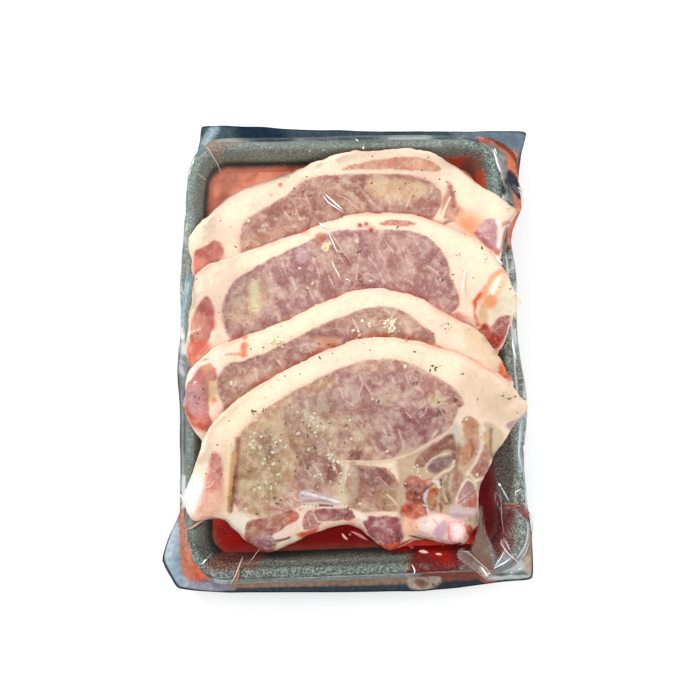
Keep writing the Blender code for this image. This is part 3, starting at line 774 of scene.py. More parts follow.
    # A painted shadow under the chop's left corner.
    canvas.line("-80,-85.5 -74.5,-87 -69,-89 -66,-92", 1.4, (150, 90, 76), 0.3, -0.2)
    canvas.fill([(-73, -52.5), (-69.5, -56), (-69, -64), (-69.5, -71), (-70, -80),
                 (-76, -85), (-82, -83), (-82, -76), (-79, -70), (-76.5, -62)],
                (224, 156, 142), soft=3.5, lean=0.6, lift=-0.15)
    canvas.fill([(-73, -54), (-70, -58), (-69.5, -68), (-73, -72), (-76, -64)],
                (204, 122, 120), soft=3, lean=0.8, most=0.85)
    canvas.fill([(-70, -72), (-69, -82), (-78, -87), (-83, -84), (-80, -76)],
                (238, 190, 164), soft=5, lean=0.4, most=0.85)
    canvas.fill([(-95, -69), (-84, -65), (-79, -67), (-80, -75), (-83, -82), (-88, -85),
                 (-92, -80)], (240, 242, 236), soft=4, lean=0, most=0.9)
    canvas.fill([(-65, -84), (-59, -85), (-56, -89), (-60, -95), (-66, -94), (-69, -90)],
                (244, 234, 214), lean=0, lift=0.4)
    muscle = dict(lean=0.75, lift=-0.2)
    canvas.fill("-56,-88.5 -50,-88 -45,-87 -38,-85.5 -34,-84.5 -31,-87 -33,-91 -37,-94.5 -42,-98"
                " -45,-108 -52,-106.4 -58.6,-99.6 -58.6,-91", (174, 104, 90), **muscle)
    canvas.fill("-52,-97 -44,-95 -40,-98 -46,-103 -56,-101", (158, 118, 136), soft=4, lean=0.8,
                most=0.7)
    canvas.fill("-38,-91 -34,-85 -32,-87 -33,-91", (224, 112, 84), soft=2, most=0.85)
    canvas.fill("-45,-98 -39,-94 -33,-90 -30,-93 -33,-98 -38,-99", (242, 218, 200), soft=1,
                lean=0, lift=0.15)
    # Two dark purple lines at the near edge: painted shadow.
    canvas.line("-46,-100.5 -41,-100 -36,-98.8", 1.0, (112, 60, 80), 0.4)
    canvas.line("-48,-103 -43,-102", 0.9, (120, 66, 84), 0.4)
    canvas.fill("-29,-94 -27.5,-87 -24,-85 -14,-84.5 -7,-84.5 -3,-86 -1.5,-90 -4,-92 -8,-90.5"
                " -13,-91.5 -17,-91 -21,-94 -25,-95.5", (172, 100, 98), **muscle)
    canvas.fill("-15,-85 -7,-85 -3,-88 -4,-90 -10,-89", (146, 76, 78), soft=2.5, most=0.85)
    canvas.line("-23,-87 -21,-91 -16,-92", 0.8, (238, 206, 196), 0.2)
    canvas.line("-26,-89 -25,-93", 0.7, (226, 170, 160), 0.4)
    canvas.fill("-33,-97.5 -29,-96 -24,-95 -20,-93.6 -24,-98.4 -29,-99.8", (226, 92, 58), soft=1.4,
                lean=0.3)
    canvas.fill("-20,-93 -17,-91.4 -13,-92 -9,-93 -12,-95.4 -17,-95.4", (246, 208, 184), soft=1,
                lean=0, lift=0.2)
    canvas.fill("-8,-91.6 -4,-91 -1.5,-90 -1,-93 -5,-95", (250, 198, 174), soft=1, lean=0,
                lift=0.2)
    canvas.fill("3.5,-90 9,-89.2 16,-89.2 22,-90.4 26,-93.6 24.5,-99 22.4,-105 18,-108.6 12,-106.6"
                " 8,-102.6 5.6,-99 3.5,-94.4", (160, 86, 94), **muscle)
    canvas.fill("20.5,-97 25,-94.6 24,-101 20,-104", (128, 52, 60), soft=2.5, most=0.85)
    canvas.fill("8,-91 15,-90.5 18,-94 12,-97", (188, 132, 136), soft=4, most=0.6)
    canvas.fill("-2,-85.8 2,-87.2 6,-90 3,-91 -1,-88.4", (252, 238, 222), soft=1, lean=0,
                lift=0.2)
    canvas.line("2,-97 6,-101 10,-104 14,-105.6", 1.7, (236, 132, 102), 0.2)
    # A painted highlight along the coral edge.
    canvas.line("3.6,-97.6 8,-101.2 11,-104", 0.8, (248, 232, 222), 0, 0.1)
    canvas.line("13,-105.2 17,-105.6 21,-103.8", 1.5, (226, 90, 52), 0.3)
    canvas.line("29,-102 24,-104 18,-107", 1.2, (206, 72, 50), lean=0.3)


def paint_bone(canvas):
    """The small muscles, gristle and cut bone at the near right of the top chop."""
    canvas.fill("56,-12 66,-16 76,-24 88,-32 90,-36 84,-42 76,-42 68,-36 60,-28 55,-20",
                (226, 200, 172), soft=8, most=0.75)
    canvas.fill("22,-56 39,-53.7 53,-50 66,-42 74,-46 77,-60 70,-71 66,-80 65,-90 58,-104"
                " 42,-105 28,-100 21,-88 22,-70", (210, 182, 152), soft=3, lean=0.2)
    canvas.line("21,-59 31,-56 39.5,-51.6 48,-46.6 53,-42", 1.3, (238, 210, 192), 0, 0.1)
    meat = dict(soft=1.6, lean=0.55, lift=-0.25)
    canvas.fill("30.5,-61.5 34,-56 39.5,-52.6 45,-49 49.3,-47 50.7,-50.3 51,-55.6 47.8,-55"
                " 43.5,-57.5 39,-60.5 35.7,-63.5 32.5,-64.5", (158, 104, 88), **meat)
    canvas.fill("36,-59.4 38,-55.2 44.7,-53.3 45.7,-55 41.3,-58", (142, 80, 72), soft=2, most=0.7)
    canvas.fill("38.4,-62.5 41,-60 45.4,-59 49.7,-58.2 50.7,-60.8 49.5,-63.4 46.2,-65 43,-67.4"
                " 39.2,-66.7 37.2,-64.6", (152, 120, 116), **meat)
    canvas.fill("39,-63 43,-62 44,-65 40,-66", (126, 92, 100), soft=2, most=0.7)
    canvas.fill("49,-46 53,-43 55.2,-47.3 56.5,-53.7 53.3,-52.5 50.3,-49.3", (216, 206, 188),
                soft=1.5, lean=0, lift=0.3)
    canvas.line("49.8,-48.2 51,-53.5 51.8,-61 52.5,-68.2", 2.2, (146, 98, 84), 0.6, -0.5)
    canvas.fill("52.8,-51.5 55.3,-54.7 54,-61 52.8,-66", (176, 134, 114), soft=1.5, lean=0.6)
    canvas.fill("55.5,-40 57.8,-38.4 61.5,-39.5 64,-43.3 64.8,-48.6 64,-54 62,-59 59.2,-62.7"
                " 56.5,-64.2 54.4,-62 55.3,-55.7 57.7,-50.6 55.8,-46.3", (204, 152, 112), **meat)
    canvas.line("60.4,-50.6 61.7,-55 60.4,-60", 1.4, (162, 92, 64), most=0.9)
    canvas.line("58,-41 61,-46 61.6,-50", 1.3, (184, 120, 90), most=0.6)
    canvas.line("65,-44.4 65.7,-50.8 66.6,-54 64.7,-59 61.8,-64 58.4,-68.4", 1.9,
                (236, 220, 202), 0, 0.2)
    canvas.line("61.5,-38.5 65,-41 67,-45.5", 1.8, (252, 234, 206), 0, 0.3)
    canvas.blot(67.9, -49.3, 1.9, (236, 164, 108), most=0.9)
    canvas.fill("67.8,-52.4 70.3,-56.2 71.5,-62.5 70.7,-67.2 67.3,-70.8 63,-71 61,-67.4"
                " 63.5,-62.8 66,-57", (188, 136, 118), **meat)
    canvas.fill("63.3,-65.4 67.8,-62.4 69,-66.6 65.2,-70.2", (176, 118, 106), soft=3, most=0.9)
    canvas.line("71.6,-61.5 71.3,-66.7 67.8,-71.3 63,-72.2 60,-68.4", 1.2, (240, 222, 200), 0,
                0.1)
    # A brown line here: painted shadow.
    canvas.line("70.3,-45.6 71,-53 72.2,-59.4", 1.6, (150, 116, 82), 0.3, -0.5)
    canvas.fill("72.4,-45.7 75.7,-45.8 77.5,-51 75,-56.3 72.8,-57.8 71.5,-53.6", (218, 198, 166),
                soft=1.4, lean=0)
    canvas.fill("78.5,-43.2 82,-41 85.7,-39.7 84,-42.8 81,-45.4", (190, 152, 152), soft=1.5)
    # Stripes beside the bone, and the three-cornered muscle.
    canvas.fill("44,-70 48.3,-67 52.6,-65 55.6,-68.3 55.4,-73.5 53,-78.6 49.6,-83.6 45.3,-84"
                " 43.4,-79.3 43.2,-74", (166, 132, 108), **meat)
    canvas.fill("52,-66 55,-70.3 54.2,-75.5 51.4,-78.5", (174, 112, 98), soft=1.5, most=0.9)
    canvas.line("47,-69 45.3,-73 46,-78.3 47.5,-82.5", 0.9, (218, 196, 164), 0.2)
    canvas.line("50.3,-68 49,-73.3 49.8,-79.5", 0.9, (206, 180, 152), 0.2)
    canvas.line("47.8,-72 47.4,-78 48.6,-82", 0.6, (112, 86, 66), most=0.8)
    canvas.fill("55.3,-74 58,-72 61.7,-73.7 63.7,-76.8 65,-82 64.3,-85.6 61.6,-87 58,-86"
                " 53.7,-85.8 51.7,-84.2 53,-78.6", (178, 132, 132), **meat)
    canvas.fill("54.8,-85.3 58,-83 62.4,-80.4 64.6,-79 65,-83 63.7,-86 59,-86", (206, 104, 76),
                soft=1.5, most=0.85)
    canvas.line("53.8,-82.7 58.3,-79.3 63.2,-76.3", 0.6, (226, 190, 184), 0.4)
    canvas.line("54.8,-84.3 59.2,-81.3 64,-79", 0.6, (232, 180, 160), 0.4)
    canvas.line("52.2,-84.2 53.5,-78.6 56,-74 58.7,-71 62.3,-73.2 64.2,-77 65.4,-82 64.2,-88.2",
                1.0, (240, 220, 196), 0, 0.15)
    canvas.line("35.6,-65 38.4,-61 42.3,-58.5 47.7,-57", 0.9, (234, 214, 184), 0, 0.2)
    canvas.line("40.7,-70.4 43,-68.4 45,-67 48.3,-66 50.5,-64.5 51.2,-61.4", 1.0,
                (238, 220, 192), 0, 0.2)
    # Spongy bone, its hard ring and the marrow.
    canvas.fill("26.4,-69.4 30.7,-68.5 35.4,-70.8 39.6,-70 40.6,-73 36.2,-75.4 34.5,-79.5"
                " 35.2,-85.7 37.7,-89.4 36.5,-93.4 32.3,-93.3 27.2,-90.6 23,-88 23.2,-84.8"
                " 26,-82.3 25.6,-77.7 25.8,-72.5", (190, 98, 80), soft=1.2, lean=0.5, lift=-0.4)
    canvas.fill("27,-74 33,-73 33,-83 28,-84", (160, 78, 60), soft=3, most=0.8)
    canvas.fill("23.2,-84.8 27.5,-83 32.7,-83.6 35.7,-87.3 34.5,-90.8 28.2,-90.6 23.6,-88",
                (206, 92, 60), soft=1.6, most=0.9)
    for x, y, size, colour in [
            (26, -73, 1.5, (74, 26, 20)), (25.4, -71.6, 0.8, (60, 30, 20)),
            (31, -77.6, 1.3, (84, 36, 26)), (32, -74, 1.0, (96, 50, 34)),
            (32, -78.4, 0.7, (40, 24, 16)), (28.5, -78, 0.9, (110, 44, 32)),
            (24.4, -87, 1.3, (140, 22, 16)), (28.4, -86, 1.6, (150, 24, 14)),
            (27, -84.6, 0.9, (120, 20, 14)), (31, -88.6, 1.0, (160, 36, 20)),
            (35.5, -92.4, 1.6, (150, 24, 30)), (30, -81, 1.0, (126, 60, 40)),
            (33.6, -81.6, 0.8, (110, 50, 36)), (27.6, -76.4, 0.8, (120, 60, 44))]:
        canvas.blot(x, y, size, colour, lift=-0.6)
    for x, y, size, colour in [
            (29.5, -71, 1.3, (222, 150, 118)), (34, -73, 1.4, (226, 150, 112)),
            (37.6, -72, 1.4, (236, 190, 150)), (33, -84.6, 1.2, (232, 150, 96)),
            (28.6, -80, 0.9, (206, 140, 112)), (30, -92, 1.2, (244, 150, 100)),
            (33.6, -88, 1.0, (238, 150, 100)), (26.8, -82, 0.9, (222, 160, 130))]:
        canvas.blot(x, y, size, colour, lift=0.3, most=0.9)
    canvas.line("38.4,-75 36.2,-77 35.4,-81 36.8,-85.2 37.7,-89", 2.0, (230, 206, 206), 0, 0.5)
    canvas.line("39.9,-75.6 38.2,-79 38.5,-83.8 40,-88", 1.2, (226, 204, 206), 0, 0.3)
    # A dark grey-blue line at the marrow's left edge: painted shadow.
    canvas.line("39.5,-74 36.2,-75.4 34.5,-78 34.4,-81 35.8,-85.2 36.7,-88.8", 0.7,
                (104, 84, 92), 0, 0.1)
    canvas.line("40,-71.5 42.4,-72 43.4,-74.6", 1.8, (236, 226, 216), 0, 0.5)
    canvas.fill("38.3,-76 42,-75 43.6,-76.2 43,-79.3 39.7,-80.7 37.6,-79.6", (200, 100, 50),
                soft=1, lean=0.3, lift=-0.5)
    canvas.fill("37,-80 41.3,-80.8 42.2,-84.4 40,-87.4 38,-86.3", (184, 130, 92), soft=1,
                lean=0.3, lift=-0.5)
    for x, y, size, colour in [
            (41, -76.6, 1.0, (150, 50, 24)), (39.6, -78.6, 1.0, (226, 120, 60)),
            (42, -78.4, 0.7, (120, 44, 24)), (40, -82, 0.9, (206, 160, 110)),
            (41, -84.6, 0.8, (140, 84, 52)), (39.4, -85, 0.8, (214, 172, 130)),
            (44.2, -71, 0.9, (60, 70, 30)), (44.4, -73.4, 0.8, (70, 76, 36))]:
        canvas.blot(x, y, size, colour, lift=-0.2)
    canvas.line("43.8,-83.4 44.7,-86 44,-88.6", 1.0, (150, 90, 56), lift=-0.3)
    canvas.fill("48.4,-85 52.7,-83.7 58,-86 62.6,-87 63,-89.7 59.7,-91.6 54.4,-92.5 50.3,-91.3"
                " 48.8,-88.2", (216, 192, 188), soft=1.2, lean=0, lift=0.5)
    canvas.fill("50,-89 56,-89.4 61,-90.4 57,-91.8 51,-91", (190, 158, 164), soft=1.5, most=0.8)
    canvas.blot(60.2, -92.7, 1.0, (120, 110, 112), most=0.9)
    # The pale knuckle at the near edge.
    canvas.fill("31.4,-90.7 37.7,-89 45.6,-89 50.8,-92 56.5,-93.6 58,-97 57,-103 52.7,-105.4"
                " 45.4,-104.6 37.2,-101.8 31,-99 28,-95", (246, 208, 196), soft=1.2, lean=0,
                lift=0.6)
    canvas.fill("32.3,-92.3 38.7,-90 44,-89.6 46,-92.7 42.6,-96.7 38.3,-99 32,-97.3",
                (246, 224, 214), soft=1.5, lift=0.3)
    canvas.fill("44,-93.2 46.5,-92.2 47.4,-95.8 46.2,-100 43.4,-102.3 40.4,-100.7 41,-97",
                (214, 182, 188), soft=1.5, lift=-0.2)
    canvas.fill("49,-95.4 52.3,-93.4 55.4,-93.5 57.4,-96.7 57.2,-100.7 54.4,-103.7 50.7,-104.6"
                " 48.7,-101", (248, 198, 192), soft=1, lift=0.7)
    # A painted highlight on the knuckle.
    canvas.fill("51,-95.4 54.3,-95 55.7,-97.6 54.5,-101.2 51.3,-101.6", (255, 236, 234),
                soft=1.6)
    canvas.line("57,-95 57.8,-98.2 57,-102.3", 0.8, (232, 96, 84), 0.2)
    canvas.line("48,-93.8 51.2,-93 54.4,-93.5", 1.0, (240, 130, 112), 0.1, most=0.8)
    canvas.line("48.4,-94.4 48,-98 48.6,-103", 0.8, (222, 140, 140), 0, -0.4)
    canvas.fill("25,-90.6 30.6,-92.6 33,-97 29.6,-101 24,-99.6", (243, 196, 164), soft=3,
                lean=0.1)
    canvas.blot(27.6, -93.6, 2.2, (238, 168, 130), most=0.7)
    canvas.line("38.4,-90 42,-93.6 42.6,-97", 0.6, (228, 176, 170), 0)
    canvas.line("27.8,-100.2 34.5,-102.2 42.3,-104.9 50,-106.3 54.3,-105.4", 1.2, (84, 30, 24),
                0.2, -0.5)
    canvas.line("32,-98 37.2,-100.2 42.4,-102.4", 0.5, (222, 182, 186), 0, -0.1)
    canvas.line("32.6,-99.6 38.2,-101.8", 0.5, (206, 160, 166), 0, -0.1)
    canvas.fill("58,-96.2 60,-95.7 62,-99 63,-102 61.2,-103.4 59.2,-101.3 57.8,-99.2",
                (176, 30, 16), soft=0.8, lean=0.4, lift=0.3)
    canvas.fill("60.5,-92 64,-90.4 65.6,-94 62.6,-96", (196, 172, 150), soft=1.5, lean=0.2)


CHOP_PAINT = {
    "chop_1": [paint_chop_1],
    "chop_2": [paint_chop_2],
    "chop_3": [paint_chop_3],
    "chop_4": [paint_chop_4, paint_bone],
}


def chop_surface(heap, name, x, y, depth):
    """Height, colour and leanness of a chop's upper face at places seen from above."""
    canvas = Canvas(x, y, FAT)
    paint_fat(canvas, heap.outlines[name])
    for paint in CHOP_PAINT[name]:
        paint(canvas)
    thick = chop_thickness(depth) * (0.5 + 0.5 * edge_rounding(depth))
    height = heap.underside(name, x, y) + thick + canvas.lift * ramp(depth, 0.2, 2.6)
    return height, canvas.colour


class Bed:
    """Everything that the film touches, as one fine surface seen from above."""

    def __init__(self, heap):
        self.step = 1.0
        self.xs = np.arange(-94, 94.5, self.step)
        self.ys = np.arange(-123, 123.5, self.step)
        x, y = (part.ravel() for part in np.meshgrid(self.xs, self.ys, indexing="ij"))
        top = tray_top(x, y)
        self.owner = np.zeros(len(x), int)
        for index, name in enumerate(CHOP_NAMES):
            depth = inwards(heap.outlines[name], x, y)
            here = np.flatnonzero(depth > 0.05)
            height, _ = chop_surface(heap, name, x[here], y[here], depth[here])
            higher = height > top[here]
            top[here[higher]] = height[higher]
            self.owner[here[higher]] = index + 1
        self.x, self.y = x, y
        self.top = top.reshape(len(self.xs), len(self.ys))

    def read(self, heights, x, y):
        column = np.clip((x - self.xs[0]) / self.step, 0, len(self.xs) - 1.001)
        row = np.clip((y - self.ys[0]) / self.step, 0, len(self.ys) - 1.001)
        i, j = column.astype(int), row.astype(int)
        u, v = column - i, row - j
        near = heights[i, j] * (1 - u) + heights[i + 1, j] * u
        far = heights[i, j + 1] * (1 - u) + heights[i + 1, j + 1] * u
        return near * (1 - v) + far * v


# --- Meshes --------------------------------------------------------------------------------

def ring_faces(rings, count, start=0):
    """Quads that join closed loops of points, from the first loop to the last."""
    k = np.arange(count)
    after = (k + 1) % count
    quads = []
    for ring in range(rings - 1):
        upper, lower = start + ring * count, start + (ring + 1) * count
        quads.append(np.stack([upper + k, lower + k, lower + after, upper + after], 1))
    return np.concatenate(quads).tolist()


def fan(centre, loop, count, upwards):
    """Triangles from a middle point to a closed loop of points."""
    k = np.arange(count)
    after = (k + 1) % count
    ends = (loop + k, loop + after) if upwards else (loop + after, loop + k)
    return np.stack([np.full(count, centre), *ends], 1).tolist()


def make_piece(name, points, faces, material, colour=None):
    """A smooth mesh object from points in millimetres, with an optional colour per point."""
    mesh = bpy.data.meshes.new(name)
    mesh.from_pydata((np.asarray(points) * MM).tolist(), [], faces)
    if colour is not None:
        layer = mesh.attributes.new("Paint", "FLOAT_COLOR", "POINT")
        layer.data.foreach_set("color", np.asarray(colour, np.float32).ravel())
    mesh.shade_smooth()
    mesh.materials.append(material)
    piece = bpy.data.objects.new(name, mesh)
    bpy.context.scene.collection.objects.link(piece)
    return piece


def finish_piece(piece, slot, *nodes):
    """The piece rides with the pack, and stands for the plain solids."""
    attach(piece, "root")
    if nodes:
        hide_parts(*nodes)


def smooth_section(section, steps):
    """A section's points with a smooth curve through them."""
    knots = np.array(section, float)
    padded = np.vstack([2 * knots[0] - knots[1], knots, 2 * knots[-1] - knots[-2]])
    fine = []
    for before, here, there, beyond in zip(padded, padded[1:], padded[2:], padded[3:]):
        for t in np.arange(steps) / steps:
            fine.append(0.5 * (2 * here + (there - before) * t
                               + (2 * before - 5 * here + 4 * there - beyond) * t**2
                               + (3 * here - before - 3 * there + beyond) * t**3))
    return np.array([*fine, knots[-1]])


# --- Materials -----------------------------------------------------------------------------

def add(tree, kind, sockets=None, **settings):
    """A node with its sockets set to values or linked to other nodes' sockets."""
    node = tree.nodes.new(kind)
    for key, value in settings.items():
        setattr(node, key, value)
    for key, value in (sockets or {}).items():
        if isinstance(value, bpy.types.NodeSocket):
            tree.links.new(value, node.inputs[key])
        else:
            node.inputs[key].default_value = value
    return node


def calc(tree, operation, first, second=0.0, third=0.0, clamp=False):
    node = add(tree, "ShaderNodeMath", {0: first, 1: second, 2: third}, operation=operation,
               use_clamp=clamp)
    return node.outputs[0]


def mix(tree, share, first, second, kind="MIX"):
    node = add(tree, "ShaderNodeMix", {0: share, 6: first, 7: second}, data_type="RGBA",
               blend_type=kind)
    return node.outputs[2]


def steps(tree, value, low, high, start=0.0, finish=1.0):
    """A smooth change from start to finish as value goes from low to high."""
    node = add(tree, "ShaderNodeMapRange",
               {"Value": value, "From Min": low, "From Max": high, "To Min": start,
                "To Max": finish}, interpolation_type="SMOOTHSTEP")
    return node.outputs[0]


def noise(tree, place, size, detail=2.0, rough=0.5, distort=0.0):
    """Noise with lumps of about that size in millimetres."""
    node = add(tree, "ShaderNodeTexNoise",
               {"Vector": place, "Scale": 1000.0 / size, "Detail": detail,
                "Roughness": rough, "Distortion": distort})
    return node.outputs["Fac"]


def cells(tree, place, size, feature="F1", output="Distance", jitter=1.0):
    node = add(tree, "ShaderNodeTexVoronoi",
               {"Vector": place, "Scale": 1000.0 / size, "Randomness": jitter},
               feature=feature)
    return node.outputs[output]


def shaped(tree, place, turn, stretch):
    """Places turned about the vertical and stretched, for streaks."""
    node = add(tree, "ShaderNodeMapping",
               {"Vector": place, "Rotation": (0.0, 0.0, turn), "Scale": stretch},
               vector_type="TEXTURE")
    return node.outputs["Vector"]


def blank_material(name):
    material = bpy.data.materials.new(name)
    material.use_nodes = True
    tree = material.node_tree
    place = add(tree, "ShaderNodeTexCoord").outputs["Object"]
    return material, tree, tree.nodes["Principled BSDF"], place


def bump(tree, shader, height, distance, strength=1.0):
    """Relief of a height from 0 to 1 that stands for that many millimetres."""
    node = add(tree, "ShaderNodeBump",
               {"Height": height, "Distance": distance * MM, "Strength": strength})
    tree.links.new(node.outputs["Normal"], shader.inputs["Normal"])


def pork_material(settings):
    """Raw pork: painted fat and lean, with grain, bundles of fibre and fine marbling."""
    material, tree, shader, place = blank_material("raw_pork")
    paint = add(tree, "ShaderNodeAttribute", attribute_name="Paint")
    lean = paint.outputs["Alpha"]
    base = mix(tree, 1.0, paint.outputs["Color"], (*settings.meat_tone, 1.0), "MULTIPLY")

    # Lean: patches of tone at two sizes, soft blobs, and pale fibres and flecks in places.
    broad = noise(tree, place, 9.0, 3.0, 0.6, 0.4)
    darker = mix(tree, 1.0, base, (0.78, 0.62, 0.62, 1.0), "MULTIPLY")
    paler = mix(tree, 0.35, base, (0.84, 0.68, 0.52, 1.0))
    tone = mix(tree, steps(tree, broad, 0.42, 0.6), darker, paler)
    toned = mix(tree, calc(tree, "MULTIPLY", lean, 0.7), base, tone)
    middle = noise(tree, place, 3.4, 2.0, 0.5, 0.4)
    down = calc(tree, "MULTIPLY", steps(tree, middle, 0.38, 0.5, 0.7, 0.0), lean)
    toned = mix(tree, down, toned, mix(tree, 1.0, toned, (0.8, 0.64, 0.58, 1.0), "MULTIPLY"))
    raised = calc(tree, "MULTIPLY", steps(tree, middle, 0.54, 0.68, 0.0, 0.4), lean)
    toned = mix(tree, raised, toned, (0.82, 0.67, 0.52, 1.0))
    patchy = steps(tree, noise(tree, place, 5.0, 2.0, 0.6), 0.4, 0.6)
    bundle = cells(tree, shaped(tree, place, 0.3, (1.0, 1.7, 1.0)), 1.9,
                   "DISTANCE_TO_EDGE")
    border = calc(tree, "MULTIPLY", steps(tree, bundle, 0.0, 0.16, 1.0, 0.0),
                  calc(tree, "MULTIPLY", patchy, lean))
    toned = mix(tree, calc(tree, "MULTIPLY", border, 0.12), toned, (0.84, 0.64, 0.54, 1.0))
    for size, share in [(8.0, 0.55), (3.0, 0.4)]:
        blob = calc(tree, "MULTIPLY", steps(tree, cells(tree, place, size), 0.04, 0.34,
                                            share, 0.0),
                    calc(tree, "MULTIPLY", patchy, lean))
        toned = mix(tree, blob, toned, (0.80, 0.66, 0.48, 1.0))
    fibrous = steps(tree, noise(tree, place, 13.0, 2.0, 0.5), 0.46, 0.62)
    fibrous = calc(tree, "MULTIPLY", fibrous, lean)
    for turn, size in [(-0.12, 0.8), (0.46, 0.95)]:
        streak = noise(tree, shaped(tree, place, turn, (1.0, 6.0, 1.0)), size, 1.0, 0.4, 0.3)
        streak = calc(tree, "MULTIPLY", steps(tree, streak, 0.64, 0.76), fibrous)
        toned = mix(tree, calc(tree, "MULTIPLY", streak, 0.4), toned,
                    (0.86, 0.68, 0.60, 1.0))
    fleck = noise(tree, place, 1.2, 1.0, 0.5)
    fleck = calc(tree, "MULTIPLY", steps(tree, fleck, 0.66, 0.76), lean)
    toned = mix(tree, calc(tree, "MULTIPLY", fleck, 0.3), toned, (0.86, 0.74, 0.62, 1.0))

    # Fat: soft mottling, with a little pink and a little yellow.
    fat = calc(tree, "SUBTRACT", 1.0, lean)
    mottle = noise(tree, place, 2.6, 4.0, 0.6)
    grain = noise(tree, place, 0.6, 2.0, 0.6)
    pinker = mix(tree, 1.0, toned, (0.97, 0.82, 0.76, 1.0), "MULTIPLY")
    share = calc(tree, "MULTIPLY", steps(tree, mottle, 0.5, 0.68), fat)
    toned = mix(tree, calc(tree, "MULTIPLY", share, 0.5), toned, pinker)
    shade = steps(tree, grain, 0.3, 0.7, 0.92, 1.06)
    rough_shade = steps(tree, grain, 0.32, 0.68, 0.88, 1.1)
    shade = calc(tree, "MULTIPLY_ADD", calc(tree, "SUBTRACT", rough_shade, shade), lean, shade)
    toned = mix(tree, 1.0, toned, add(tree, "ShaderNodeCombineColor",
                                      {0: shade, 1: shade, 2: shade}).outputs[0], "MULTIPLY")
    tree.links.new(toned, shader.inputs["Base Color"])
    gloss = steps(tree, noise(tree, place, 3.5, 2.0), 0.35, 0.65, 0.24, 0.46)
    tree.links.new(gloss, shader.inputs["Roughness"])
    shader.inputs["Specular IOR Level"].default_value = 0.15
    shader.inputs["Subsurface Weight"].default_value = 0.12
    shader.inputs["Subsurface Radius"].default_value = (1.0, 0.45, 0.3)
    shader.inputs["Subsurface Scale"].default_value = 0.0022
    height = calc(tree, "MULTIPLY_ADD", border, 0.35, calc(tree, "MULTIPLY", mottle, 0.8))
    bump(tree, shader, calc(tree, "MULTIPLY_ADD", grain, 0.3, height), 0.35, 0.7)
    return material


def foam_material(settings):
    """Speckled grey foam: fine cells, pale and dark grains, stained where painted."""
    material, tree, shader, place = blank_material("grey_foam")
    paint = add(tree, "ShaderNodeAttribute", attribute_name="Paint")
    base = mix(tree, 1.0, paint.outputs["Color"], (*settings.foam_tone, 1.0), "MULTIPLY")
    grain = noise(tree, place, 0.95, 1.0, 0.5)
    fine = noise(tree, place, 0.5, 1.0)
    both = calc(tree, "MULTIPLY_ADD", calc(tree, "SUBTRACT", fine, 0.5), 0.6, grain)
    coarse = paint.outputs["Alpha"]
    pale = mix(tree, 1.0, base, (1.9, 1.92, 1.85, 1.0), "MULTIPLY")
    dark = mix(tree, 1.0, base, (0.4, 0.4, 0.4, 1.0), "MULTIPLY")
    down = calc(tree, "MULTIPLY", steps(tree, both, 0.34, 0.5, 1.0, 0.0), coarse)
    up = calc(tree, "MULTIPLY", steps(tree, both, 0.52, 0.68), coarse)
    toned = mix(tree, up, mix(tree, down, base, dark), pale)
    tree.links.new(toned, shader.inputs["Base Color"])
    shader.inputs["Roughness"].default_value = 0.7
    shader.inputs["Specular IOR Level"].default_value = 0.1
    cell = cells(tree, place, 1.0)
    bump(tree, shader, calc(tree, "MULTIPLY_ADD", both, 0.8, cell), 0.22, 0.45)
    return material


def juice_material(settings):
    """Meat juice: deep red, clear and wet, with faint swirls and a faint painted glow of its own colour.
    """
    material, tree, shader, place = blank_material("meat_juice")
    paint = add(tree, "ShaderNodeAttribute", attribute_name="Paint")
    base = mix(tree, 1.0, paint.outputs["Color"], (*settings.juice_tone, 1.0), "MULTIPLY")
    swirl = noise(tree, place, 9.0, 3.0, 0.6, 0.6)
    deep = mix(tree, 1.0, base, (0.72, 0.6, 0.6, 1.0), "MULTIPLY")
    toned = mix(tree, steps(tree, swirl, 0.35, 0.65), deep, base)
    tree.links.new(toned, shader.inputs["Base Color"])
    shader.inputs["Roughness"].default_value = 0.2
    shader.inputs["Specular IOR Level"].default_value = 0.05
    # A faint glow in the juice's own colour: painted light that brightens it where it lies in shade.
    tree.links.new(toned, shader.inputs["Emission Color"])
    shader.inputs["Emission Strength"].default_value = 0.2
    bump(tree, shader, noise(tree, place, 4.0, 2.0), 0.25, 0.5)
    return material


def film_material(settings):
    """Clear film: it shows what is under it, shines at its folds, and is tinted where painted."""
    material, tree, shader, place = blank_material("clear_film")
    paint = add(tree, "ShaderNodeAttribute", attribute_name="Paint")
    solid = paint.outputs["Alpha"]
    base = mix(tree, steps(tree, solid, 0.0, 0.1), (1.0, 1.0, 1.0, 1.0),
               paint.outputs["Color"])
    mottle = steps(tree, noise(tree, place, 2.5, 3.0, 0.6), 0.3, 0.7, 0.72, 1.12)
    toned = mix(tree, solid, base, mix(tree, 1.0, base, add(
        tree, "ShaderNodeCombineColor", {0: mottle, 1: mottle, 2: mottle}).outputs[0],
        "MULTIPLY"))
    tree.links.new(toned, shader.inputs["Base Color"])
    tree.links.new(steps(tree, solid, 0.0, 0.35, 1.0, 0.0), shader.inputs["Metallic"])
    shader.inputs["Roughness"].default_value = settings.film_roughness
    shader.inputs["Specular IOR Level"].default_value = 0.08
    crinkle = noise(tree, place, 1.6, 2.0, 0.5, 0.6)
    bump(tree, shader, crinkle, 0.1, 0.35)
    mirror = add(tree, "ShaderNodeFresnel", {"IOR": 1.14}).outputs[0]
    cover = calc(tree, "MAXIMUM", solid, mirror, clamp=True)
    clear = add(tree, "ShaderNodeBsdfTransparent").outputs[0]
    both = add(tree, "ShaderNodeMixShader", {0: cover, 1: clear, 2: shader.outputs[0]})
    output = tree.nodes["Material Output"]
    tree.links.new(both.outputs[0], output.inputs["Surface"])
    return material


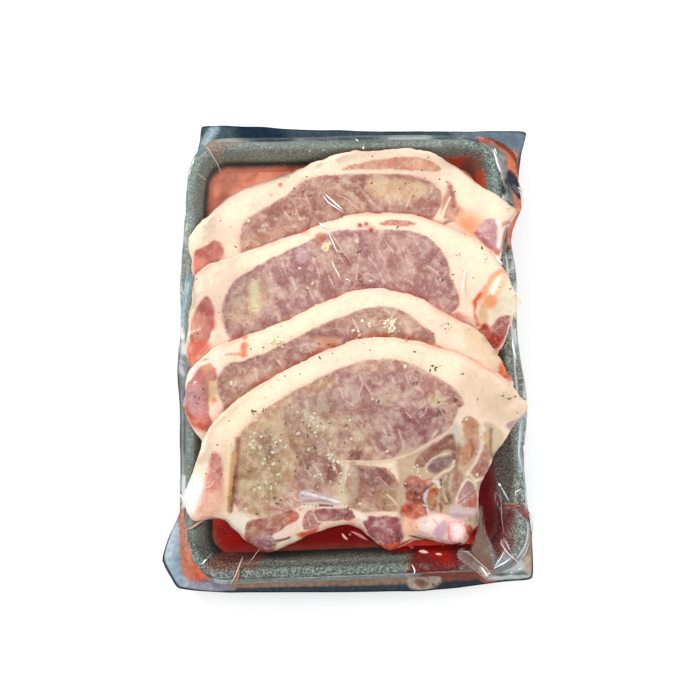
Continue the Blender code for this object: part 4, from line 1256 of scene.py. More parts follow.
def crumb_material(name, colour, other, roughness, size):
    """A small hard crumb in two tones."""
    material, tree, shader, place = blank_material(name)
    tone = steps(tree, noise(tree, place, size, 2.0), 0.38, 0.62)
    toned = mix(tree, tone, (*colour, 1.0), (*linear(other), 1.0))
    tree.links.new(toned, shader.inputs["Base Color"])
    shader.inputs["Roughness"].default_value = roughness
    bump(tree, shader, noise(tree, place, 0.4, 2.0), 0.1, 0.6)
    return material


def bubble_material():
    """A pale bubble in juice over the red, paler towards its outline as a painted sheen."""
    material, tree, shader, place = blank_material("froth")
    edge = add(tree, "ShaderNodeLayerWeight", {"Blend": 0.35}).outputs["Facing"]
    tone = steps(tree, noise(tree, place, 1.4, 2.0), 0.35, 0.65)
    base = mix(tree, tone, (*linear((206, 172, 160)), 1.0), (*linear((176, 120, 108)), 1.0))
    # Paler where the surface turns away from view: a painted sheen at the bubble's outline.
    toned = mix(tree, steps(tree, edge, 0.3, 0.9), base, (*linear((238, 222, 214)), 1.0))
    tree.links.new(toned, shader.inputs["Base Color"])
    shader.inputs["Roughness"].default_value = 0.12
    return material


# --- Foam tray and juice -------------------------------------------------------------------

RIM_POINTS = dict(across=56, along=74, corner=26)


def rim_loop(inset):
    loop = rounded_rectangle(TRAY_HALF_WIDTH, TRAY_HALF_LENGTH, TRAY_CORNER_RADIUS, inset,
                             **RIM_POINTS)
    loop[:, 0] -= drawn_in(loop[:, 0], loop[:, 1])
    return loop


def paint_foam(canvas, height, within):
    """Foam with painted shade low on its inner wall, painted light on its rim top and right inner wall,
    and juice stains under the film.
    """
    x, y = canvas.x, canvas.y
    everywhere = np.arange(len(x))
    inside = inwards_from_rim(x, y)
    canvas.lay(everywhere, np.ones(len(x)), None, 0.55, 0.0)
    canvas.lay(everywhere, 1 - ramp(y, -112, -90), (90, 94, 87), 1.0, 0.0)
    canvas.lay(everywhere, ramp(x, 66, 78), (128, 130, 122), 1.0, 0.0)
    clean = canvas.colour.copy()
    wall = ramp(inside, 5, 8)
    # Painted shade: the inner wall darker towards its foot, less so on the right.
    side = 1 - 0.75 * ramp(x, 66, 76) * (1 - ramp(y, 60, 80))
    low = (1 - ramp(height, 8, 16)) * wall * side
    canvas.lay(everywhere, 0.85 * low, (46, 44, 38), None, 0.0)
    far = ramp(y, 45, 65) * (1 - ramp(x, 40, 56)) * wall
    # A dark band across the far inner wall: painted shade.
    canvas.lay(everywhere, far * np.exp(-(((height - 13.5) / 2.4) ** 2)), (50, 48, 42), None,
               0.0)
    canvas.lay(everywhere, far * (1 - ramp(height + 0.5 * lumps(x, y, 3, 12), 7.0, 12.5)),
               (234, 156, 130), 0.08, 0.0)
    corner = ramp(x, 48, 60) * ramp(y, 62, 74) * wall
    higher = 4 * ramp(x, 64, 72)
    canvas.lay(everywhere, corner * (1 - ramp(height + 0.5 * lumps(x, y, 4, 14), 15 + higher,
                                              18.5 + higher)), (196, 84, 60), 0.15, 0.0)
    canvas.lay(everywhere, ramp(x, 60, 72) * ramp(y, 66, 82) * ramp(height, 16, 20),
               (116, 134, 130), 1.0, 0.0)
    pool = ramp(x, 14, 24) * (1 - ramp(x, 64, 74)) * (1 - ramp(y, -102, -98)) * wall
    canvas.lay(everywhere, pool * (1 - ramp(height + 0.5 * lumps(x, y, 4, 13), 11, 13.5)),
               (196, 14, 8), 0.05, 0.0)
    # The right inner wall made lighter: painted light where it lies in shade.
    canvas.lay(everywhere, ramp(x, 66, 71) * (1 - ramp(x, 79, 84)) * (1 - ramp(y, 40, 70)) * wall,
               (158, 158, 150), 1.0, 0.0)
    # The rim's top made paler: painted light where it faces the lamps.
    rim = ramp(height, 22.5, 24.8)
    canvas.lay(everywhere, 0.4 * rim, (140, 152, 146), None, 0.0)
    band = np.exp(-(((height - 18.5) / 2.2) ** 2)) * (1 - ramp(y, -112, -100))
    canvas.lay(everywhere, 0.5 * band, (134, 140, 130), None, 0.0)
    left = (1 - ramp(x, -80, -60)) * ramp(height, 6, 20)
    canvas.lay(everywhere, 0.25 * left, (132, 144, 142), None, 0.0)
    canvas.fill([(25, -126), (27, -112), (30, -106), (50, -104), (62, -107), (70, -114),
                 (72, -120), (62, -123), (44, -126)], (112, 22, 18), 3, most=0.92, wobble=1.6)
    canvas.fill("31,-105 32,-110.4 38,-112.8 46,-112.8 51,-110.4 54,-105", (176, 22, 14), soft=3,
                lean=0.1, most=0.8, wobble=1.4)
    for x, y, size in [(24, -115.5, 2.2), (33.5, -115, 2.2), (54, -117, 2.6), (50, -118.4, 2.0),
                       (58, -117.6, 1.8)]:
        canvas.blot(x, y, size, (112, 114, 104), lean=1.0, most=0.95)
    canvas.fill([(73, -84), (80, -84), (84, -90), (82, -100), (80, -110), (74, -112)],
                (124, 40, 42), soft=3, most=0.85, wobble=1.0)
    canvas.fill([(-80, -112), (-66, -113), (-50, -110), (-52, -104), (-70, -104)],
                (150, 84, 70), soft=5, most=0.6, wobble=2)
    canvas.fill([(-78, 117), (-66, 119), (-56, 118.5), (-68, 115), (-73, 110)],
                (160, 128, 112), soft=4, most=0.6, wobble=1)
    canvas.fill([(68, 110), (76, 112), (78, 104), (72, 102)], (126, 104, 92), soft=4,
                most=0.8)
    canvas.colour = np.where(within[:, None], canvas.colour, clean)


def make_tray(settings):
    section = smooth_section(TRAY_OUTSIDE, 4)
    outside = len(section)
    section = np.vstack([section, smooth_section([TRAY_OUTSIDE[-1], *TRAY_LIP,
                                                  TRAY_INSIDE[0]], 4)[1:]])
    section = np.vstack([section, smooth_section(TRAY_INSIDE, 8)[1:]])
    under = [(44.0, 1.4), (22.0, 1.3), (18.5, 0.5)]
    rings = [np.column_stack([rim_loop(inset), np.full(len(rim_loop(inset)), z)])
             for inset, z in [*under, *section]]
    for inset in (20, 26, 36, 50, 66, 82):
        loop = rim_loop(inset)
        rings.append(np.column_stack([loop, np.full(len(loop), 4.6)]))
    count = len(rings[0])
    points = np.vstack(rings)
    points[:, 2] += 0.12 * lumps(points[:, 0], points[:, 1], 3.0, 5) * (points[:, 2] > 2)
    canvas = Canvas(points[:, 0], points[:, 1], settings_colour(settings.foam_colour))
    paint_foam(canvas, points[:, 2], np.arange(len(points)) >= (len(under) + outside) * count)
    faces = ring_faces(len(rings), count)
    faces += fan(len(points), 0, count, False)
    faces += fan(len(points) + 1, len(points) - count, count, True)
    points = np.vstack([points, [(0, 0, 1.4), (0, 0, 4.6)]])
    colour = np.vstack([canvas.colour, canvas.colour[:1], canvas.colour[-1:]])
    tray = make_piece("foam_tray", points, flipped(faces), foam_material(settings), colour)
    finish_piece(tray, "foam", "tray")


def settings_colour(colour):
    """A colour setting as the three numbers up to 255 that a canvas takes."""
    share = np.asarray(colour[:3], float)
    curved = np.where(share <= 0.0031308, share * 12.92, 1.055 * share ** (1 / 2.4) - 0.055)
    return curved * 255


def flipped(faces):
    return [face[::-1] for face in faces]


def make_juice(settings):
    insets = [11.45, 11.6, 11.9, 12.5, 13.5, 15, 17, 19, 21, 23, 25, 28, 31, 35, 40, 46, 54,
              64, 76, 86]
    loops = [rim_loop(inset) for inset in insets]
    count = len(loops[0])
    rings = []
    for inset, loop in zip(insets, loops):
        lift = 0.35 * math.exp(-(inset - 11.4) / 1.2)
        level = JUICE_LEVEL + lift + 0.12 * lumps(loop[:, 0], loop[:, 1], 9.0, 8)
        rings.append(np.column_stack([loop, level]))
    rings = rings[::-1]
    for inset, height in [(11.6, 6.4), (12.8, 5.4), (16.0, 4.9), (50.0, 4.9)]:
        loop = rim_loop(inset)
        rings.append(np.column_stack([loop, np.full(count, height)]))
    points = np.vstack(rings)
    canvas = Canvas(points[:, 0], points[:, 1], settings_colour(settings.juice_colour))
    everywhere = np.arange(len(points))
    # The far part pale coral: a thin film of juice, made paler still as painted light where it lies in
    # shade.
    far = ramp(points[:, 1], 20, 80)
    canvas.lay(everywhere, far, (255, 168, 138), 0.0, 0.0)
    canvas.fill([(-72, 108), (-60, 108), (-66, 98), (-66, 84), (-72, 84)], (214, 140, 116),
                soft=7)
    right = ramp(points[:, 0], 58, 68)
    canvas.lay(everywhere, right * (1 - far), (112, 12, 22), 0.0, 0.0)
    canvas.fill("-40,-92 22,-92 18,-112 -40,-112", (140, 0, 0), soft=9)
    canvas.fill("-78,-92 -60,-92 -46,-98 -44,-110 -62,-110 -75,-106", (176, 10, 6), soft=6)
    canvas.fill("24,-98 26,-112 60,-112 58,-98", (255, 40, 18), soft=6)
    canvas.fill("-84,-88 -79.6,-90 -77,-103 -67,-109.4 -48,-110 -46,-114 -84,-114",
                (156, 96, 80), soft=5, most=0.8)
    wall = 1 - ramp(inwards_from_rim(points[:, 0], points[:, 1]), 11.5, 16.5)
    canvas.lay(everywhere, wall * (0.25 - 0.1 * far), (150, 116, 98), 0.0, 0.0)
    faces = ring_faces(len(rings), count) + fan(len(points), 0, count, True)
    faces += fan(len(points) + 1, len(points) - count, count, False)
    points = np.vstack([points, [(0, 0, JUICE_LEVEL), (0, 0, 4.9)]])
    colour = np.vstack([canvas.colour, canvas.colour[:1], canvas.colour[-1:]])
    pool = make_piece("juice_pool", points, faces, juice_material(settings), colour)
    finish_piece(pool, "juice", "juice")


# --- Chops ---------------------------------------------------------------------------------

def make_chop(heap, name, material):
    controls = CHOP_OUTLINES[name]
    outline = smooth_outline(controls, SLAB_POINTS)
    run = np.roll(outline, -1, 0) - np.roll(outline, 1, 0)
    outwards = np.stack([run[:, 1], -run[:, 0]], 1)
    outwards /= np.linalg.norm(outwards, axis=1)[:, None]
    ragged = 0.55 * lumps(outline[:, 0], outline[:, 1], 6, 3)
    ragged += 0.22 * lumps(outline[:, 0], outline[:, 1], 2.2, 4)
    outline = outline + outwards * ragged[:, None]
    centre = (outline.max(0) + outline.min(0)) / 2
    reach = np.sum((outline - centre) * outwards, 1)
    shares = np.concatenate([np.linspace(0.012, 0.93, SLAB_RINGS), FINE_EDGE])
    top = centre + shares[:, None, None] * (outline - centre)
    x, y = top[..., 0].ravel(), top[..., 1].ravel()
    depth = np.maximum(inwards(outline[::4], x, y), 0).reshape(len(shares), -1)
    close = (1 - shares)[:, None] * reach[None]
    near_edge = ramp(shares, 0.86, 0.93)[:, None]
    depth = (depth * (1 - near_edge) + close * near_edge).ravel()
    height, colour = chop_surface(heap, name, x, y, depth)
    points = [np.column_stack([x, y, height])]
    colours = [colour]
    for share in SLAB_UNDER:
        loop = centre + share * (outline - centre)
        depth = (1 - share) * reach
        under = heap.underside(name, loop[:, 0], loop[:, 1])
        rise = chop_thickness(depth) * (0.5 - 0.5 * edge_rounding(depth))
        points.append(np.column_stack([loop, under + rise]))
        colours.append(colour[-SLAB_POINTS:])
    points, colours = np.vstack(points), np.vstack(colours)
    rings = len(shares) + len(SLAB_UNDER)
    faces = ring_faces(rings, SLAB_POINTS)
    faces += fan(len(points), 0, SLAB_POINTS, True)
    faces += fan(len(points) + 1, len(points) - SLAB_POINTS, SLAB_POINTS, False)
    ends = [(*centre, points[:SLAB_POINTS, 2].mean()), (*centre, points[-SLAB_POINTS:, 2].mean())]
    points = np.vstack([points, ends])
    colours = np.vstack([colours, colours[:1], colours[-1:]])
    piece = make_piece("pork_" + name, points, faces, material, colours)
    finish_piece(piece, "pork", name)


# --- Seasoning, scattered by geometry nodes ------------------------------------------------

def scatter_tree():
    """Crumbs strewn over a surface where its points' spread is more than zero."""
    tree = bpy.data.node_groups.new("strewn_crumbs", "GeometryNodeTree")
    face = tree.interface
    face.new_socket("Geometry", in_out="INPUT", socket_type="NodeSocketGeometry")
    for name, kind in [("Crowding", "Float"), ("Seed", "Int"), ("Smallest", "Float"),
                       ("Largest", "Float"), ("Stretch", "Vector"), ("Facets", "Int"),
                       ("Unevenness", "Float"), ("Sink", "Float"), ("Material", "Material")]:
        face.new_socket(name, in_out="INPUT", socket_type="NodeSocket" + kind)
    face.new_socket("Geometry", in_out="OUTPUT", socket_type="NodeSocketGeometry")
    given = tree.nodes.new("NodeGroupInput").outputs
    spread = add(tree, "GeometryNodeInputNamedAttribute", {"Name": "spread"},
                 data_type="FLOAT").outputs[0]
    crowd = calc(tree, "MULTIPLY", spread, given["Crowding"])
    strewn = add(tree, "GeometryNodeDistributePointsOnFaces",
                 {"Mesh": given["Geometry"], "Density": crowd, "Seed": given["Seed"]})
    ball = add(tree, "GeometryNodeMeshIcoSphere",
               {"Radius": 0.5, "Subdivisions": given["Facets"]}).outputs["Mesh"]
    wild = add(tree, "ShaderNodeTexNoise", {"Scale": 2.3, "Detail": 1.0}).outputs["Color"]
    centred = add(tree, "ShaderNodeVectorMath", {0: wild, 1: (0.5, 0.5, 0.5)},
                  operation="SUBTRACT").outputs[0]
    offset = add(tree, "ShaderNodeVectorMath", {0: centred, "Scale": given["Unevenness"]},
                 operation="SCALE").outputs[0]
    rough = add(tree, "GeometryNodeSetPosition", {"Geometry": ball, "Offset": offset})
    shaped_ball = add(tree, "GeometryNodeTransform",
                      {"Geometry": rough.outputs[0], "Scale": given["Stretch"]})
    size = add(tree, "FunctionNodeRandomValue",
               {2: given["Smallest"], 3: given["Largest"], "Seed": given["Seed"]},
               data_type="FLOAT").outputs[1]
    turn = add(tree, "FunctionNodeRandomValue",
               {2: 0.0, 3: 2 * math.pi, "Seed": 5}, data_type="FLOAT").outputs[1]
    spin = add(tree, "FunctionNodeAxisAngleToRotation", {"Axis": (0.0, 0.0, 1.0),
                                                        "Angle": turn}).outputs[0]
    turned = add(tree, "FunctionNodeRotateRotation",
                 {"Rotation": strewn.outputs["Rotation"], "Rotate By": spin},
                 rotation_space="LOCAL").outputs[0]
    down = add(tree, "ShaderNodeVectorMath",
               {0: strewn.outputs["Normal"], "Scale": given["Sink"]},
               operation="SCALE").outputs[0]
    sunk = add(tree, "GeometryNodeSetPosition",
               {"Geometry": strewn.outputs["Points"], "Offset": down}).outputs[0]
    placed = add(tree, "GeometryNodeInstanceOnPoints",
                 {"Points": sunk, "Instance": shaped_ball.outputs[0], "Rotation": turned,
                  "Scale": size})
    real = add(tree, "GeometryNodeRealizeInstances", {"Geometry": placed.outputs[0]})
    smooth = add(tree, "GeometryNodeSetShadeSmooth", {"Geometry": real.outputs[0]})
    dressed = add(tree, "GeometryNodeSetMaterial",
                  {"Geometry": smooth.outputs[0], "Material": given["Material"]})
    output = tree.nodes.new("NodeGroupOutput")
    tree.links.new(dressed.outputs[0], output.inputs[0])
    return tree


def grown(name, base, tree, values):
    """The mesh that a geometry tree makes on a base object, as a plain piece."""
    modifier = base.modifiers.new("grown", "NODES")
    modifier.node_group = tree
    for item in tree.interface.items_tree:
        if item.item_type == "SOCKET" and item.in_out == "INPUT" and item.name in values:
            modifier[item.identifier] = values[item.name]
    bpy.context.view_layer.update()
    graph = bpy.context.evaluated_depsgraph_get()
    mesh = bpy.data.meshes.new_from_object(base.evaluated_get(graph))
    if not mesh.polygons:
        raise RuntimeError(f"{name} came out empty")
    piece = bpy.data.objects.new(name, mesh)
    mesh.name = name
    bpy.context.scene.collection.objects.link(piece)
    old = base.data
    bpy.data.objects.remove(base)
    bpy.data.meshes.remove(old)
    return piece


def bed_object(bed, spread):
    """The visible surface as a mesh whose points carry how thickly crumbs lie there."""
    rows, columns = len(bed.xs), len(bed.ys)
    index = np.arange(rows * columns).reshape(rows, columns)
    quads = np.stack([index[:-1, :-1], index[1:, :-1], index[1:, 1:], index[:-1, 1:]], -1)
    used = spread[quads].max(-1) > 0
    points = np.column_stack([bed.x, bed.y, bed.top.ravel()]) * MM
    mesh = bpy.data.meshes.new("bed")
    mesh.from_pydata(points.tolist(), [], quads[used].tolist())
    mesh.attributes.new("spread", "FLOAT", "POINT").data.foreach_set("value", spread)
    base = bpy.data.objects.new("bed", mesh)
    bpy.context.scene.collection.objects.link(base)
    return base


def clusters(bed, spots, background=0.0, within=None):
    """How thickly crumbs lie: round heaps at (x, y, radius, share) on a thin background."""
    spread = np.full(len(bed.x), background)
    if within is not None:
        spread *= within
    for x, y, radius, share in spots:
        gap = np.hypot(bed.x - x, bed.y - y) + 0.5 * radius * lumps(bed.x, bed.y, 1.9, 31)
        spread = np.maximum(spread, share * (1 - ramp(gap, radius * 0.4, radius)))
    return np.where(bed.owner > 0, spread, 0.0).astype(np.float32)


GARLIC_HEAPS = [
    (19, 12, 5.5, 1.0), (8, 12, 3.0, 0.7), (24, 10, 2.6, 0.7), (2, 6, 2.4, 0.6),
    (-39, 3, 4.5, 0.8), (-52, 29, 4.0, 0.5), (-51, 24, 2.5, 0.5), (-13, 56, 2.2, 0.5),
    (-52, -49, 5.0, 0.9), (-42, -48, 4.5, 1.0), (-52, -60, 4.2, 0.6), (-23, -37, 4.5, 0.7),
    (-18, -41, 3.6, 0.7), (-28, -33, 3.0, 0.4), (-13, -57, 4.4, 0.9), (-11, -63, 3.4, 0.9),
    (-8, -60, 3.0, 0.8), (-49, -68, 2.2, 0.5), (-55, -74, 2.0, 0.5), (-48, -79, 4.6, 0.7),
    (-42, -71, 1.8, 0.6), (-36, -60, 2.2, 0.4), (-20, -66, 2.2, 0.5), (29, -66, 4.6, 0.9),
    (34, -67, 3.0, 0.8), (25, -80, 2.6, 0.9), (24, -73, 2.4, 0.6), (4, -61, 2.6, 0.5),
    (12, -61, 2.4, 0.4), (66, -50, 2.0, 0.5), (66, -57, 2.0, 0.4), (13, -27, 2.8, 0.3),
    (34, -29, 2.0, 0.4), (3, -47, 2.6, 0.3), (-23, -78, 1.8, 0.5), (55, -104, 1.4, 0.3),
]
HERB_HEAPS = [
    (-51, 29, 2.2, 0.7), (41, -14, 2.2, 0.9), (55, -15, 1.6, 0.9), (-52, -33, 1.8, 0.9),
    (-45, -26, 1.4, 0.8), (4, -2, 1.6, 0.8), (44, -37, 2.0, 0.9), (80, 27, 1.6, 0.8),
    (-51, 75, 1.8, 0.9), (-16, 80, 1.4, 0.8), (13, 94, 1.6, 0.8), (37, 86, 1.4, 0.7),
    (76, -44, 2.6, 0.8), (50, -82, 2.2, 0.9), (42, -77, 1.4, 0.8), (58, -62, 1.4, 0.6),
    (60, -50, 1.2, 0.7), (-50, -60, 2.0, 0.4), (-40, -55, 2.0, 0.3), (80, -30, 2.4, 0.5),
    (-28, -38, 1.8, 0.4), (32, -21, 1.6, 0.8), (-30, -46, 1.6, 0.3), (78, -5, 4.0, 0.35),
    (-62, -11, 1.8, 0.6), (28, -68, 2.0, 0.4), (-5, -84, 1.4, 0.7), (-64, -30, 1.6, 0.3),
]
PEPPER_HEAPS = [
    (46, 55, 1.2, 1.0), (57, 48, 1.2, 1.0), (72, 44, 1.6, 1.0), (49, 45, 1.2, 1.0),
    (59, 22, 1.2, 1.0), (49, 9, 3.4, 0.8), (-34, 44, 1.0, 1.0), (-37, 45, 1.0, 0.8),
    (37, 86, 1.2, 1.0), (-30, 84, 1.0, 1.0), (-33, 79, 1.0, 1.0), (35, -60, 1.2, 1.0),
    (31, -21, 1.2, 0.8), (78, -28, 3.0, 0.6), (-17, 2, 1.2, 1.0), (-66, -3, 1.0, 0.8),
]


def make_seasoning(bed, settings):
    tree = scatter_tree()
    x, y = bed.x, bed.y
    tan_side = (bed.owner == 4) * (1 - ramp(x, -20, 6)) * (1 - ramp(y, -34, -26))
    tan_side = tan_side * ramp(x, -62, -56) * ramp(y, -90, -84)
    spread = clusters(bed, GARLIC_HEAPS)
    dusting = 0.05 * tan_side + 0.003 * (bed.owner > 0) * (x > -72)
    spread = np.where(bed.owner > 0, np.maximum(spread, dusting), 0).astype(np.float32)
    garlic = grown("garlic_crumbs", bed_object(bed, spread), tree, {
        "Crowding": settings.garlic_crowding * 1e6, "Seed": 11, "Smallest": 0.5 * MM,
        "Largest": 2.5 * MM, "Stretch": (1.0, 0.85, 0.5), "Facets": 2, "Unevenness": 0.5,
        "Sink": 0.0, "Material": crumb_material("garlic", settings.garlic_colour[:3],
                                                (216, 198, 152), 0.5, 1.4)})
    herb_spread = clusters(bed, HERB_HEAPS, 0.003, bed.owner > 0)
    herb_spread = np.maximum(herb_spread, 0.02 * tan_side).astype(np.float32)
    herbs = grown("herb_flakes", bed_object(bed, herb_spread), tree, {
        "Crowding": settings.herb_crowding * 1e6, "Seed": 23, "Smallest": 0.8 * MM,
        "Largest": 2.4 * MM, "Stretch": (1.0, 0.5, 0.25), "Facets": 2, "Unevenness": 0.5,
        "Sink": 0.05 * MM, "Material": crumb_material("dried_herb",
                                                      settings.herb_colour[:3],
                                                      (74, 78, 20), 0.6, 0.8)})
    pepper_spread = clusters(bed, PEPPER_HEAPS, 0.010, bed.owner > 0)
    pepper_spread = np.maximum(pepper_spread, 0.035 * tan_side).astype(np.float32)
    pepper = grown("pepper_grains", bed_object(bed, pepper_spread), tree, {
        "Crowding": settings.pepper_crowding * 1e6, "Seed": 37, "Smallest": 0.4 * MM,
        "Largest": 1.1 * MM, "Stretch": (1.0, 0.85, 0.6), "Facets": 1, "Unevenness": 0.4,
        "Sink": 0.0, "Material": crumb_material("cracked_pepper", (0.02, 0.012, 0.008),
                                                (96, 66, 44), 0.6, 0.6)})
    for piece in (garlic, herbs, pepper):
        finish_piece(piece, "pork")


FROTH = [(38.4, -110.4, 1.8, 0.4), (46, -111, 1.8, 0.4), (49, -108.8, 1.6, 0.4),
         (29, -107, 2.0, 0.6), (-4, -101, 1.2, 0.5), (2, -100, 1.4, 0.5)]


def make_froth(bed, settings):
    """Bubbles that float on the juice at the near edge of the top chop."""
    spread = np.zeros(len(bed.x))
    for x, y, radius, share in FROTH:
        gap = np.hypot(bed.x - x, bed.y - y)
        spread = np.maximum(spread, share * (1 - ramp(gap, radius * 0.6, radius)))
    level = bed.top.ravel() < JUICE_LEVEL + 0.8
    spread = np.where(level, spread, 0.0).astype(np.float32)
    base = bed_object(bed, spread)
    froth = grown("juice_froth", base, scatter_tree(), {
        "Crowding": 0.75e6, "Seed": 4, "Smallest": 0.8 * MM, "Largest": 2.2 * MM,
        "Stretch": (1.0, 0.85, 0.6), "Facets": 3, "Unevenness": 0.06, "Sink": -0.1 * MM,
        "Material": bubble_material()})
    finish_piece(froth, "juice")


# --- Film bag ------------------------------------------------------------------------------

def seal_edge(points):
    """The bag's seal, met by a ray from the middle through each of these points."""
    corners = smooth_outline(SEAL_OUTLINE, 420) * 0.35 + evenly(SEAL_OUTLINE, 420, True) * 0.65
    turn = np.arctan2(corners[:, 1], corners[:, 0])
    order = np.argsort(turn)
    reach = np.hypot(corners[order, 0], corners[order, 1])
    wanted = np.arctan2(points[:, 1], points[:, 0])
    far = np.interp(wanted, turn[order], reach, period=2 * math.pi)
    return points / np.linalg.norm(points, axis=1)[:, None] * far[:, None]


def film_rows():
    """The rows of the film's upper face: where each lies along the pack, and its half width."""
    arc = np.linspace(0, math.pi / 2, 24)[1:]
    straight = FILM_HALF_LENGTH - FILM_CORNER_RADIUS
    middle = np.linspace(-straight, straight, 190)
    ends = straight + FILM_CORNER_RADIUS * np.sin(arc)
    narrow = FILM_HALF_WIDTH - FILM_CORNER_RADIUS * (1 - np.cos(arc))
    along = np.concatenate([-ends[::-1], middle, ends])
    half = np.concatenate([narrow[::-1], np.full(len(middle), FILM_HALF_WIDTH), narrow])
    return along, half


CREASES = [
    # Long soft folds of the film: where they run, how high and how wide.
    ([(-16, 69), (-10, 60), (-5, 50), (-2, 44)], 0.35, 1.1),
    ([(80, -84), (80, -94), (79, -104)], 0.9, 1.6),
    ([(68, -108), (76, -114), (84, -118)], 0.9, 2.0),
    ([(84, -80), (82, -88), (86, -96)], 0.7, 1.4),
    ([(83, 112), (83, 105), (86, 98)], 0.7, 1.2),
]


def film_relief(heap, bed, x, y):
    """The height of the film over the food and the tray, with its wrinkles."""
    height = heap.film_height(x, y)
    touch = bed.read(bed.film_floor, x, y)
    height = np.maximum(height, touch)
    slack = ramp(height - bed.read(bed.top, x, y), 0.7, 3.0)
    corner = ramp(np.hypot(np.maximum(np.abs(x) - 48, 0), np.maximum(np.abs(y) - 78, 0)), 6, 34)
    height = height + 0.10 * np.abs(lumps(x, y, 2.4, 61)) + 0.16 * np.abs(lumps(x, y, 7, 62))
    loose = 0.15 + 0.85 * ramp(x, 60, 84) * ramp(np.abs(y), 55, 95)
    height += slack * loose * (0.45 * np.abs(lumps(x, y, 4.5, 63))
                               + 0.3 * np.abs(lumps(x, y, 2.1, 64)))
    angle = np.arctan2(y, x)
    ray = np.abs(lumps(angle * 160, np.hypot(x, y) * 0.16, 4.2, 65)) ** 1.5
    height += corner * slack * loose * 1.3 * ray
    for points, rise, width in CREASES:
        where = np.flatnonzero((np.abs(x - points[0][0]) < 40) & (np.abs(y - points[0][1]) < 50))
        gap, _ = distance_to(evenly(points, 12), x[where], y[where], False)
        height[where] += rise * np.exp(-((gap / width) ** 2))
    return height


